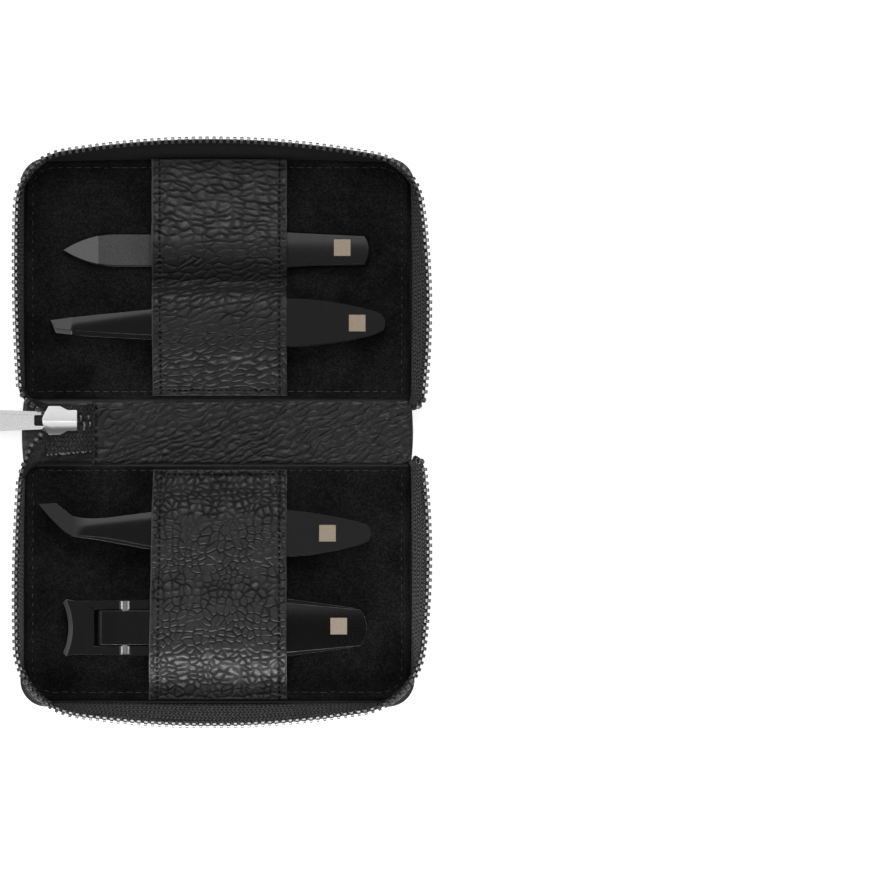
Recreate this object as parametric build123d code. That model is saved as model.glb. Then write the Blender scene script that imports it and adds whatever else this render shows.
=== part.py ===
from build123d import *
import math
import os

# Zip-around manicure case, lying open with its inside up. Millimetres, +Z up.
# X runs along the spine, +Y is the front half, and the origin is the middle of the
# spine on the surface that the case lies on.

# Driving dimensions of the case
CASE_WIDTH = 105.0          # along the spine
PANEL_DEPTH = 64.4          # each half, from its fold to its outer edge
SPINE_WIDTH = 17.34         # between the two folds: the inner height of the closed case
COVER_THICK = 1.8           # outer leather with its padding
BOARD_THICK = 0.8           # stiffener
LINING_THICK = 0.6          # suede
FOLD_GAP = 0.7              # bare strip that lets a fold bend
CORNER_R = 7.0              # outer corners of a half
FOLD_CORNER_R = 1.2         # corners next to a fold
EDGE_CROWN = 0.9            # how far the padded cover curves up to its edge
EDGE_CROWN_RUN = 4.5        # and over what distance
BOARD_INSET = 2.0
LINING_INSET = 1.3
LINING_CORNER_R = 8.0
SPINE_END_BOW = 0.5         # the spine's ends swell a little

# Levels
BOARD_Z = COVER_THICK
LINING_Z = BOARD_Z + BOARD_THICK
INSIDE_Z = LINING_Z + LINING_THICK      # inner face, where the fold axes lie
FOLD_Y = SPINE_WIDTH / 2
HALF_WIDTH = CASE_WIDTH / 2
OUTER_Y = FOLD_Y + PANEL_DEPTH
PANEL_Y = FOLD_Y + FOLD_GAP / 2
SPINE_Y = FOLD_Y - FOLD_GAP / 2
TOOL_Z = INSIDE_Z + 0.02                # tools lie just clear of the suede

# Zip wall: woven tape that stands up from the edge and leans outwards, and its teeth
TAPE_THICK = 0.6
TAPE_TOP_Z = 9.5
TAPE_INSET = 0.5            # of its sewn edge from the edge of the cover
SEAM_R = 6.5
SEAM_BOW = 0.2
ROW_R = 15.0                # corners of the tape's upper edge
LEFT_WALL_END = FOLD_Y + 3.0
RIGHT_WALL_END = FOLD_Y + 0.75
ROW_LEFT_X = (52.0, 53.2, 52.4)     # upper edge at its end, middle and corner
ROW_RIGHT_X = (54.9, 56.1, 52.6)
ROW_OUT_Y = (72.3, 77.7, 71.5)      # at the left corner, middle and right corner
TOOTH_PITCH = 1.83
TOOTH_LEAN = 35.0           # from upright, outwards
TOOTH_LENGTH = 2.0
TOOTH_WIDTH = 1.05
TOOTH_THICK = 2.2
TOOTH_HEAD = 1.3
TOOTH_LIFT = TAPE_THICK / 2 * math.tan(math.radians(TOOTH_LEAN)) + 0.02    # clears its tilted foot
STOP_LENGTH = 2.4

# Loops of leather that hold the tools
STRAP_WIDTH = 36.0
STRAP_X = 0.5
STRAP_THICK = 1.0
STRAP_GAP = 0.3             # room between a tool and the leather over it
STRAP_SLOPE = 0.5           # run of its flanks, as a share of their height
STRAP_BEND_R = 1.0
STRAP_FOLD_END = FOLD_Y + 1.4
STRAP_OUTER_END = OUTER_Y - 1.6

# Zip slider, at the left end of the spine
SLIDER_Y = 3.2
SLIDER_NOSE_X = -46.6
SLIDER_LENGTH = 9.4
SLIDER_BACK_X = SLIDER_NOSE_X + SLIDER_LENGTH
SLIDER_SHOULDER = 3.8       # half width at the wide end
SLIDER_WAIST = 2.75         # half width at the narrow end
SLIDER_PLATE = 0.8
SLIDER_LOW_Z = 5.4
SLIDER_ROOM = 2.5           # between the plates
SLIDER_FLANGE = 0.6
SLIDER_RIDGE = 0.4          # rise of the upper plate to its middle line
SLIDER_NOSE = 0.9           # half width of the blunt nose
SLIDER_CORNER_R = 0.35
TAPE_SLOT = 0.8             # between the flanges, for the tape
WEDGE_WIDTH = 1.5           # of the post that parts the rows
WEDGE_LENGTH = 2.2
BAIL_WIDTH = 1.7
BAIL_STRIP = 0.45
BAIL_DROP = 1.85            # from the lower plate to the middle of the strip
TAIL_TAPE = 0.5
TAIL_END_X = -32.9
TAIL_TOP_X = -36.6
TAIL_RAMP_R = 0.8
TAIL_TOOTH = (1.05, 1.8, 0.9)
TAIL_TOOTH_STEP = (-0.95, -1.35)
BOTTOM_STOP = (1.2, 4.2, 1.3)

# Pull: metal tab and leather thong
TAB_AXIS_X = -45.6
TAB_AXIS_Z = 4.65
TAB_LENGTH = 22.5
TAB_ROOT_W = 4.6
TAB_END_W = 6.4
TAB_ROOT_T = 0.9
TAB_END_T = 2.2
TAB_SLOT_W = 2.9
TAB_SLOT_L = 3.1
TAB_EYE_W = 4.5
TAB_EYE_L = 2.7
TAB_END_BAR = 1.2
TAB_CORNER_R = 1.2
TAB_HOLE_R = 0.5            # corners of the slot and the eye
TAB_PITCH = 4.8             # slope down to the left
THONG_LAYER = 1.2
THONG_WIDTH = 3.9
THONG_LENGTH = 33.0
THONG_LOOP_R = 2.65
THONG_NECK = 1.2            # from the loop's middle to the start of the lower layer
THONG_BEVEL = 1.5           # slant of the cut end

# Tools
FILE_Y = 48.6
FILE_TIP_X = -41.5
FILE_END_X = 40.7
FILE_BLADE_W = 9.0
FILE_HANDLE_W = 10.4
FILE_END_W = 8.0
FILE_SHOULDER = 14.2        # from the tip to where the blade has its full width
FILE_SHOULDER_MID = (5.3, 2.75)     # a point on the curve between them, from the tip
FILE_GRIP_X = 15.0          # widest place of the handle
FILE_STEP_X = -8.0          # where the thicker handle starts
FILE_END_BOW = 1.2
FILE_EDGE = 0.35
FILE_HANDLE_EDGE = 0.45
FILE_THICK = 1.3
FILE_HANDLE_THICK = 2.3
TWEEZER_LEG = 1.2
TWEEZER_MID_Z = 6.0         # where the two legs meet
TWEEZER_BOW = 1.35
TWEEZER_TIP_GAP = 1.1
TWEEZER_WELD = 9.0          # length at the rear end where the legs are joined
SLANT_EDGE_STEP = 1.2       # by which the upper leg's lower edge stands back from the lower leg's
CLAW_EDGE_STEP = 0.85
CLIPPER_Y = -51.9
CLIPPER_SHEET = 1.5
CLIPPER_WIDTH = 15.0
CLIPPER_MID_WIDTH = 16.0
CLIPPER_END_WIDTH = 10.5
CLIPPER_EDGE_X = -40.9
CLIPPER_REAR_X = 38.6
CLIPPER_WAIST = 0.45        # narrowing behind the cutting edge
CLIPPER_WAIST_X = 3.0
CLIPPER_WIDE_X = 16.0
CLIPPER_END_RUN = 2.5
CLIPPER_CORNER = 0.8         # corners of the cutting edge
CLIPPER_BEVEL = 1.15         # ground band along the cutting edge
CLIPPER_LIP = 2.6            # length of the thicker front end of the upper jaw
CLIPPER_WINDOW_R = 0.4
CLIPPER_WINDOW_W = 9.8
CLIPPER_WINDOW_X = (-32.7, 16.0)
LEVER_NECK_W = 9.0
LEVER_MID_W = 13.4
LEVER_END_W = 9.6
LEVER_FLARE_X = (-2.0, 17.0)        # where the neck widens into the handle
LEVER_END_RUN = 1.6
LEVER_X = (-31.65, 39.8)
LEVER_NOSE = 0.85            # chamfer at the front of the tongue
AXLE_X = -24.4
AXLE_Z = 8.1
AXLE_R = 0.9
AXLE_CLEAR = 0.05
EAR_R = 1.65
EAR_THICK = 2.1
EAR_FOOT_Z = 6.9
BARREL_R = 1.55              # of the lever round the axle
LEVER_Z = 8.9               # middle of the lever over the axle
RIVET_X = 33.0
RIVET_HEAD_R = 1.6
RIVET_R = 0.95
RIVET_CLEAR = 0.08
JAW_RELIEF = 0.22           # gap that lets the upper jaw tilt about its rivet

# Plate on the front cover
BADGE_SIZE = 6.8
BADGE_X = 37.4
BADGE_Y = 59.6
BADGE_R = 1.0
BADGE_RIM = 0.7
BADGE_DEPTH = 0.6
BADGE_SINK = 0.12           # of the plate below its frame


def save(shape, node):
    """Writes one sub-part."""
    export_step(shape, f"parts/{node}.step")


def back(shape):
    """The same piece on the back half."""
    return mirror(shape, about=Plane.XZ)


def half_section(inset, corner_r, fold_inset=0.0):
    """Outline of a flat piece of the front half: round at its outer corners."""
    width = CASE_WIDTH - 2 * inset
    low = PANEL_Y + fold_inset
    depth = OUTER_Y - inset - low
    face = Pos(0, low + depth / 2) * Rectangle(width, depth)
    face = fillet(face.vertices().group_by(Axis.Y)[-1], corner_r)
    return fillet(face.vertices().group_by(Axis.Y)[0], FOLD_CORNER_R)


def sheet_xz(points, radius, thick, y_low, y_high):
    """Bent sheet: a round-cornered path in XZ, given a thickness and run along Y."""
    face = trace(FilletPolyline(*points, radius=radius), thick)
    return Pos(0, y_high, 0) * extrude(Plane.XZ * face, amount=y_high - y_low)


def prism(outline, low, high):
    """Outline in XY, raised from one level to another."""
    return extrude(Pos(0, 0, low) * outline, amount=high - low)


def outline_face(*edges):
    """Face inside a closed chain of edges."""
    return make_face(edges)


# ------------------------------------------------------------------ covers and linings


def front_cover():
    """Padded outer leather, curved up towards its free edges, with a seat for the plate."""
    levels = [
        (0.0, EDGE_CROWN_RUN),
        (EDGE_CROWN * 0.4, EDGE_CROWN_RUN * 0.35),
        (EDGE_CROWN, 0.0),
    ]
    sections = [Pos(0, 0, z) * half_section(inset, CORNER_R - inset * 0.6) for z, inset in levels]
    crown = loft(sections, ruled=True)
    rim = prism(half_section(0, CORNER_R), EDGE_CROWN, COVER_THICK)
    return crown + rim


def board():
    return prism(half_section(BOARD_INSET, CORNER_R - 1, 0.6), BOARD_Z, LINING_Z)


def lining():
    return prism(half_section(LINING_INSET, LINING_CORNER_R), LINING_Z, INSIDE_Z)


def spine_section(inset):
    """Outline of a flat piece of the spine, with ends that swell a little."""
    x = HALF_WIDTH - 0.9 - inset
    y = SPINE_Y - inset
    bow = SPINE_END_BOW
    return outline_face(
        Line((-x, -y), (x, -y)),
        ThreePointArc((x, -y), (x + bow, 0), (x, y)),
        Line((x, y), (-x, y)),
        ThreePointArc((-x, y), (-x - bow, 0), (-x, -y)),
    )


# ------------------------------------------------------------------------- zip walls


def wall_edge(left_x, right_x, out_y, radius, inset):
    """Edge of the tape at one level: three slightly bowed sides with round corners."""
    left_end, left_mid, left_corner = (-(x - inset) for x in left_x)
    right_end, right_mid, right_corner = (x - inset for x in right_x)
    corner_left_y, mid_y, corner_right_y = (y - inset for y in out_y)
    middle = (LEFT_WALL_END + corner_left_y) / 2
    sides = Wire(
        [
            ThreePointArc((left_end, LEFT_WALL_END), (left_mid, middle), (left_corner, corner_left_y)),
            ThreePointArc((left_corner, corner_left_y), (0, mid_y), (right_corner, corner_right_y)),
            ThreePointArc((right_corner, corner_right_y), (right_mid, middle), (right_end, RIGHT_WALL_END)),
        ]
    )
    corners = [v for v in sides.vertices() if v.Y > middle]
    return sides.fillet_2d(radius - inset, corners)


def seam_edge(inset=0.0):
    """Sewn edge of the tape."""
    x = HALF_WIDTH - TAPE_INSET
    y = OUTER_Y - TAPE_INSET
    side = (x - SEAM_BOW, x, x - SEAM_BOW)
    return wall_edge(side, side, (y - SEAM_BOW, y, y - SEAM_BOW), SEAM_R, inset)


def row_edge(inset=0.0):
    """Upper edge of the tape, which carries the teeth."""
    return wall_edge(ROW_LEFT_X, ROW_RIGHT_X, ROW_OUT_Y, ROW_R, inset)


def band(outer, inner, z):
    """C-shaped section of the tape at one level."""
    ends = [Line(outer @ 0, inner @ 0), Line(outer @ 1, inner @ 1)]
    return Pos(0, 0, z) * make_face([*outer.edges(), *inner.edges(), *ends])


def zip_tape():
    """Wall of tape from the seam up to its upper edge."""
    sections = [
        band(seam_edge(), seam_edge(TAPE_THICK), COVER_THICK),
        band(row_edge(), row_edge(TAPE_THICK), TAPE_TOP_Z),
    ]
    return loft(sections, ruled=True)


def tooth(thick=TOOTH_THICK, head=TOOTH_HEAD):
    """One tooth: its foot on the tape's edge, narrowing to a rounded head. Along +Z."""
    foot = thick / 2
    tip = head / 2
    waist = TOOTH_LENGTH * 0.45
    profile = make_face(
        Polyline(
            (-foot, 0), (foot, 0), (foot, waist), (tip, TOOTH_LENGTH * 0.85),
            (0, TOOTH_LENGTH), (-tip, TOOTH_LENGTH * 0.85), (-foot, waist), close=True,
        )
    )
    return extrude(Plane.YZ * profile, amount=TOOTH_WIDTH / 2, both=True)


def tooth_seat(row, distance):
    """Place of a tooth: on the tape's edge, leaning outwards."""
    point = row.position_at(distance, position_mode=PositionMode.LENGTH)
    along = row.tangent_at(distance, position_mode=PositionMode.LENGTH)
    outwards = along.cross(Vector(0, 0, 1))
    if outwards.dot(Vector(point.X, point.Y - FOLD_Y - PANEL_DEPTH / 2, 0)) < 0:
        outwards = -outwards
    lean = math.radians(TOOTH_LEAN)
    up = outwards * math.sin(lean) + Vector(0, 0, math.cos(lean))
    return Plane(origin=Vector(point.X, point.Y, TAPE_TOP_Z), x_dir=along, z_dir=up)


def zip_teeth():
    """The row of teeth along the tape's upper edge."""
    row = row_edge(TAPE_THICK / 2)
    count = int((row.length - 2 * STOP_LENGTH) / TOOTH_PITCH)
    start = (row.length - (count - 1) * TOOTH_PITCH) / 2
    one = tooth()
    one = Pos(0, 0, TOOTH_LIFT) * one
    teeth = [tooth_seat(row, start + i * TOOTH_PITCH).location * one for i in range(count)]
    return Compound(children=teeth)


def zip_end_stop():
    """Metal clip that ends the row of teeth at the right."""
    row = row_edge(TAPE_THICK / 2)
    at_right = row.length - STOP_LENGTH / 2 if (row @ 1).X > 0 else STOP_LENGTH / 2
    clip = Box(STOP_LENGTH * 0.75, TOOTH_THICK, TOOTH_LENGTH * 0.8, align=(Align.CENTER, Align.CENTER, Align.MIN))
    clip = fillet(clip.edges().group_by(Axis.Z)[-1], 0.4)
    return tooth_seat(row, at_right).location * (Pos(0, 0, TOOTH_LIFT) * clip)


# -------------------------------------------------------------------- straps of the tools


def strap(humps):
    """Strap of the front half: flat on the suede, and raised over each tool.
    A hump is (centre, half width, height of its underside above the suede)."""
    mid = STRAP_THICK / 2
    points = [(STRAP_FOLD_END, mid)]
    for centre, half, height in sorted(humps):
        run = height * STRAP_SLOPE
        points += [
            (centre - half - run, mid),
            (centre - half, height + mid),
            (centre + half, height + mid),
            (centre + half + run, mid),
        ]
    points.append((STRAP_OUTER_END, mid))
    face = trace(FilletPolyline(*points, radius=STRAP_BEND_R), STRAP_THICK)
    body = extrude(Plane.YZ * face, amount=STRAP_WIDTH / 2, both=True)
    return Pos(STRAP_X, 0, INSIDE_Z) * body


# ------------------------------------------------------------------- slider and its pull


def slider_shield():
    """Shield-shaped outline with its nose to the left and its narrow end to the right."""
    nose = SLIDER_NOSE_X
    half = [
        (nose + 0.3, SLIDER_NOSE),
        (nose + 1.85, SLIDER_SHOULDER),
        (nose + 4.9, SLIDER_SHOULDER),
        (nose + 6.9, SLIDER_WAIST),
        (SLIDER_BACK_X, SLIDER_WAIST),
    ]
    mirrored = [(x, -y) for x, y in reversed(half)]
    return Pos(0, SLIDER_Y) * make_face(Polyline(*half, *mirrored, close=True))


def slider_outline():
    """The plate's outline, with its corners rounded."""
    shield = slider_shield()
    return fillet(shield.vertices(), SLIDER_CORNER_R)


def slider_flange():
    """Side walls of the slider, open at its wide end and at the back."""
    ring = slider_outline() - offset(slider_shield(), amount=-SLIDER_FLANGE)
    front_gap = 2.0
    side = Pos(SLIDER_NOSE_X + front_gap + SLIDER_LENGTH / 2, SLIDER_Y) * Rectangle(
        SLIDER_LENGTH, 2 * SLIDER_SHOULDER + 1
    )
    open_back = Pos(SLIDER_BACK_X, SLIDER_Y) * Rectangle(2.0, 2 * (SLIDER_WAIST - SLIDER_FLANGE))
    return (ring & side) - open_back


def slider_body():
    """Two plates with side flanges, joined by the wedge that parts the rows."""
    room_low = SLIDER_LOW_Z + SLIDER_PLATE
    top_z = room_low + SLIDER_ROOM
    middle = room_low + SLIDER_ROOM / 2
    low = prism(slider_outline(), SLIDER_LOW_Z, room_low)
    eaves = top_z + SLIDER_PLATE - SLIDER_RIDGE
    ridge = top_z + SLIDER_PLATE + SLIDER_RIDGE / 2
    wide = SLIDER_SHOULDER + 1.2
    gable = make_face(
        Polyline((-wide, top_z), (wide, top_z), (wide, eaves), (0, ridge), (-wide, eaves), close=True)
    )
    roof = Pos(0, SLIDER_Y) * extrude(Plane.YZ * gable, amount=60, both=True)
    high = prism(slider_outline(), top_z, ridge + 1) & roof
    flange_low = prism(slider_flange(), room_low, middle - TAPE_SLOT / 2)
    flange_high = prism(slider_flange(), middle + TAPE_SLOT / 2, top_z)
    half = WEDGE_WIDTH / 2
    front_x = SLIDER_NOSE_X + 0.5
    rear_x = front_x + WEDGE_LENGTH
    wedge = make_face(
        Polyline(
            (front_x, 0), (front_x + 0.5, half), (rear_x - 0.7, half), (rear_x, 0),
            (rear_x - 0.7, -half), (front_x + 0.5, -half), close=True,
        )
    )
    post = prism(Pos(0, SLIDER_Y) * wedge, room_low, top_z)
    return low + high + flange_low + flange_high + post


def slider_bail():
    """Strip bent into a loop under the slider, which holds the tab."""
    low = SLIDER_LOW_Z - BAIL_DROP
    nose = SLIDER_NOSE_X + 0.25
    rear = SLIDER_BACK_X - 1.4
    points = [(nose, SLIDER_LOW_Z), (nose, low), (rear - 1.2, low), (rear, SLIDER_LOW_Z)]
    y_low = SLIDER_Y - BAIL_WIDTH / 2
    strip = sheet_xz(points, 0.3, BAIL_STRIP, y_low, y_low + BAIL_WIDTH)
    above = Pos(nose, SLIDER_Y, SLIDER_LOW_Z) * Box(
        30, 6, 3, align=(Align.CENTER, Align.CENTER, Align.MIN)
    )
    return strip - above


def tail_tape():
    """End of the tape: sewn to the spine, rising into the slider, and forked past its wedge."""
    z = SLIDER_LOW_Z + SLIDER_PLATE + SLIDER_ROOM / 2
    foot = TOOL_Z + TAIL_TAPE / 2
    points = [(TAIL_END_X, foot), (TAIL_END_X - 1.2, foot), (TAIL_TOP_X, z), (-52.0, z)]
    ramp = sheet_xz(points, TAIL_RAMP_R, TAIL_TAPE, -10, 12)
    fork_x = SLIDER_NOSE_X + 3.4
    mouth_x = SLIDER_NOSE_X + 1.4
    front_edge = [(TAIL_END_X, 7.2), (-41.5, 8.0), (-49.6, 8.1)]
    fork = [
        (mouth_x, SLIDER_Y + 1.3), (fork_x, SLIDER_Y + 1.1),
        (fork_x, SLIDER_Y - 1.1), (mouth_x, SLIDER_Y - 1.3),
    ]
    back_edge = [(-49.4, -6.4), (-44.0, -6.4), (TAIL_END_X, -5.0)]
    plan = make_face(Polyline(*front_edge, *fork, *back_edge, close=True))
    return ramp & prism(plan, 0, 20)


def tail_teeth():
    """Teeth of the two tape ends where they part, clear of the slider's way."""
    z = SLIDER_LOW_Z + SLIDER_PLATE + SLIDER_ROOM / 2 + TAIL_TAPE / 2
    one = Box(*TAIL_TOOTH, align=(Align.CENTER, Align.CENTER, Align.MIN))
    one = chamfer(one.edges().group_by(Axis.Z)[-1], 0.25)
    step_x, step_y = TAIL_TOOTH_STEP
    front_row = [Pos(-48.5, 7.3, z) * Rot(0, 0, 145)]
    back_row = [Pos(-47.7 + step_x * i, -2.6 + step_y * i, z) * Rot(0, 0, 55) for i in range(3)]
    return Compound(children=[seat * one for seat in front_row + back_row])


def bottom_stop():
    """Metal clip that joins the two tape ends and stops the slider."""
    foot = TOOL_Z + TAIL_TAPE
    clip = Box(*BOTTOM_STOP, align=(Align.CENTER, Align.CENTER, Align.MIN))
    clip = fillet(clip.edges().group_by(Axis.Z)[-1], 0.35)
    return Pos(TAIL_END_X + 0.7, SLIDER_Y, foot) * clip


def pull_tab():
    """Tapered metal tab: round bar and slot at the slider, eye for the thong at its end."""
    half0, half1 = TAB_ROOT_W / 2, TAB_END_W / 2
    length = TAB_LENGTH
    plan = make_face(
        Polyline(
            (TAB_ROOT_T / 2, -half0), (TAB_ROOT_T / 2, half0), (-length, half1), (-length, -half1),
            close=True,
        )
    )
    plan = fillet(plan.vertices().group_by(Axis.X)[0], TAB_CORNER_R)
    plan -= Pos(-TAB_SLOT_L / 2, 0) * RectangleRounded(TAB_SLOT_L, TAB_SLOT_W, TAB_HOLE_R)
    plan -= Pos(0, 0) * Rectangle(2 * TAB_ROOT_T, TAB_SLOT_W)
    eye_x = -length + TAB_END_BAR + TAB_EYE_L / 2
    plan -= Pos(eye_x, 0) * RectangleRounded(TAB_EYE_L, TAB_EYE_W, TAB_HOLE_R)
    r0, r1 = TAB_ROOT_T / 2, TAB_END_T / 2
    side = make_face(
        [
            Line((0, r0), (-length, r1)),
            Line((-length, r1), (-length, -r1)),
            Line((-length, -r1), (0, -r0)),
            ThreePointArc((0, -r0), (r0, 0), (0, r0)),
        ]
    )
    body = extrude(Pos(0, 0, -5) * plan, amount=10) & extrude(Plane.XZ * side, amount=10, both=True)
    body += Rot(90, 0, 0) * Cylinder(TAB_ROOT_T / 2, TAB_SLOT_W + 0.4)
    return Pos(TAB_AXIS_X, SLIDER_Y, TAB_AXIS_Z) * (Rot(0, -TAB_PITCH, 0) * body)


def thong_axis():
    """Middle of the bar at the tab's end, in XZ."""
    reach = TAB_LENGTH - TAB_END_BAR / 2
    pitch = math.radians(TAB_PITCH)
    return TAB_AXIS_X - reach * math.cos(pitch), TAB_AXIS_Z - reach * math.sin(pitch)


def pull_thong():
    """Leather strip folded round the tab's end bar and sewn to itself."""
    x, z = thong_axis()
    ring = Circle(THONG_LOOP_R) - Circle(THONG_LOOP_R - THONG_LAYER)
    low = -THONG_LOOP_R
    high = low + 2 * THONG_LAYER
    end = -THONG_LENGTH
    strip = make_face(
        Polyline(
            (-THONG_NECK, low), (-THONG_NECK - 0.7, high), (end + THONG_BEVEL, high),
            (end, low + THONG_LAYER / 2), (end, low), close=True,
        )
    )
    profile = ring + (strip - Circle(THONG_LOOP_R - THONG_LAYER))
    solid = extrude(Plane.XZ * profile, amount=THONG_WIDTH / 2, both=True)
    return Pos(x, SLIDER_Y, z) * solid


# --------------------------------------------------------------------------------- tools


def nail_file():
    """Leaf-shaped blade with a smooth point, and a thicker handle."""
    half, grip, end = FILE_BLADE_W / 2, FILE_HANDLE_W / 2, FILE_END_W / 2
    shoulder = FILE_TIP_X + FILE_SHOULDER
    grip_x, end_x = FILE_GRIP_X, FILE_END_X - FILE_END_BOW
    tip = (FILE_TIP_X, 0)
    curve_x, curve_y = FILE_SHOULDER_MID
    curve_x += FILE_TIP_X
    blade = make_face(
        [
            ThreePointArc(tip, (curve_x, curve_y), (shoulder, half)),
            Line((shoulder, half), (grip_x, half)),
            Line((grip_x, half), (grip_x, -half)),
            Line((grip_x, -half), (shoulder, -half)),
            ThreePointArc((shoulder, -half), (curve_x, -curve_y), tip),
        ]
    )
    handle = make_face(
        [
            Line((FILE_STEP_X, half), (grip_x, grip)),
            Line((grip_x, grip), (end_x, end)),
            ThreePointArc((end_x, end), (FILE_END_X, 0), (end_x, -end)),
            Line((end_x, -end), (grip_x, -grip)),
            Line((grip_x, -grip), (FILE_STEP_X, -half)),
            Line((FILE_STEP_X, -half), (FILE_STEP_X, half)),
        ]
    )
    thin = chamfer(extrude(blade, amount=FILE_THICK).edges().group_by(Axis.Z)[-1], FILE_EDGE)
    thick = extrude(handle, amount=FILE_HANDLE_THICK)
    thick = chamfer(thick.edges().group_by(Axis.Z)[-1], FILE_HANDLE_EDGE)
    return Pos(0, FILE_Y, TOOL_Z) * (thin + thick)


def leg_profile(sign, front_x, rear_x, tip_gap):
    """One tweezer leg seen from the side: bowed away from the middle plane."""
    gap = tip_gap * sign
    bow = TWEEZER_BOW * sign
    thick = TWEEZER_LEG * sign
    middle = (front_x + rear_x) / 2 + 6
    weld = rear_x - TWEEZER_WELD
    near = Spline((front_x, gap), (middle - 28, bow), (middle, bow), (weld, 0))
    far = Spline((front_x, gap + thick * 0.6), (middle - 28, bow + thick), (middle, bow + thick), (weld, thick))
    return make_face(
        [near, far, Line(near @ 0, far @ 0), Line((weld, 0), (rear_x, 0)),
         Line((rear_x, 0), (rear_x, thick)), Line((rear_x, thick), (weld, thick))]
    )


def leg(plan, sign, front_x, rear_x, tip_gap=TWEEZER_TIP_GAP):
    """Leg with a plan outline and a bowed side profile."""
    side = extrude(Plane.XZ * leg_profile(sign, front_x, rear_x, tip_gap), amount=80, both=True)
    return Pos(0, 0, TWEEZER_MID_Z) * (extrude(plan, amount=10, both=True) & side)


def slant_plan(step=0.0):
    """Outline of the slant-tipped tweezers. step moves the lower edge in along the front half."""
    top = Spline((-44.3, 29.9), (-36.0, 30.9), (-17.5, 32.7), (2, 34.7), (18.5, 35.6), (33, 34.3), (43.6, 31.7))
    low = Spline(
        (-43.0, 26.5 + step), (-34.0, 25.6 + step), (-17.5, 24.7 + step), (2, 23.3 + step * 0.6),
        (18.5, 22.7 + step * 0.3), (33, 24.0 + step * 0.2), (43.6, 26.4),
    )
    tip = Line(top @ 0, low @ 0)
    end = ThreePointArc(top @ 1, (44.8, 29.05), low @ 1)
    return make_face([top, low, tip, end])


def claw_plan(step=0.0):
    """Outline of the tweezers with a bent claw tip. step moves the lower edge in."""
    top = Spline(
        (-38.6, -22.1), (-35.0, -22.8), (-28.0, -22.5), (-17.5, -21.2), (0, -20.3),
        (18.5, -20.6), (31, -22.3), (40.0, -24.4),
    )
    low = Spline(
        (-39.2, -27.7 + step * 0.2), (-30, -28.9 + step), (-17.5, -31.2 + step), (2, -33.0 + step * 0.6),
        (18.5, -33.2 + step * 0.4), (31, -31.6 + step * 0.2), (40.0, -29.5),
    )
    claw = [
        Line(top @ 0, (-42.7, -18.8)),
        Line((-42.7, -18.8), (-47.5, -19.0)),
        ThreePointArc((-47.5, -19.0), (-43.5, -23.6), low @ 0),
    ]
    end = ThreePointArc(top @ 1, (41.0, -26.95), low @ 1)
    return make_face([top, low, end, *claw])


def clipper_plan(concave):
    """Outline of a clipper jaw, with its hollow cutting edge to the left."""
    half, mid, end = CLIPPER_WIDTH / 2, CLIPPER_MID_WIDTH / 2, CLIPPER_END_WIDTH / 2
    x0, x1 = CLIPPER_EDGE_X, CLIPPER_REAR_X - CLIPPER_END_RUN
    waist_x, waist = x0 + CLIPPER_WAIST_X, half - CLIPPER_WAIST
    wide_x, corner = CLIPPER_WIDE_X, CLIPPER_CORNER
    return Pos(0, CLIPPER_Y) * make_face(
        [
            ThreePointArc((x0, corner - half), (x0 + concave, 0), (x0, half - corner)),
            Line((x0, half - corner), (x0 + corner, half)),
            Line((x0 + corner, half), (waist_x, waist)),
            Line((waist_x, waist), (wide_x, mid)),
            Line((wide_x, mid), (x1, end)),
            ThreePointArc((x1, end), (CLIPPER_REAR_X, 0), (x1, -end)),
            Line((x1, -end), (wide_x, -mid)),
            Line((wide_x, -mid), (waist_x, -waist)),
            Line((waist_x, -waist), (x0 + corner, -half)),
            Line((x0 + corner, -half), (x0, corner - half)),
        ]
    )


def clipper_sheet(points, radius):
    """Bent sheet as wide as the clipper."""
    return sheet_xz(points, radius, CLIPPER_SHEET, CLIPPER_Y - 12, CLIPPER_Y + 12)


def clipper_lower_jaw():
    """Flat lower jaw that turns up to its cutting edge, with the rivet's hole."""
    z = TOOL_Z + CLIPPER_SHEET / 2
    sheet = clipper_sheet([(-42, 6.6), (-37.2, z), (45, z)], 3.0)
    jaw = sheet & prism(clipper_plan(1.1), 0, 6.25)
    return jaw - rivet_shank(2 * CLIPPER_SHEET)


def upright(radius, height):
    """Cylinder that stands on its origin."""
    return Cylinder(radius, height, align=(Align.CENTER, Align.CENTER, Align.MIN))


def across(radius, width):
    """Cylinder along Y, about the axle."""
    return Pos(AXLE_X, CLIPPER_Y, AXLE_Z) * (Rot(90, 0, 0) * Cylinder(radius, width))


def rivet_shank(height, grow=0.0):
    return Pos(RIVET_X, CLIPPER_Y, TOOL_Z) * upright(RIVET_R + grow, height)


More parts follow.
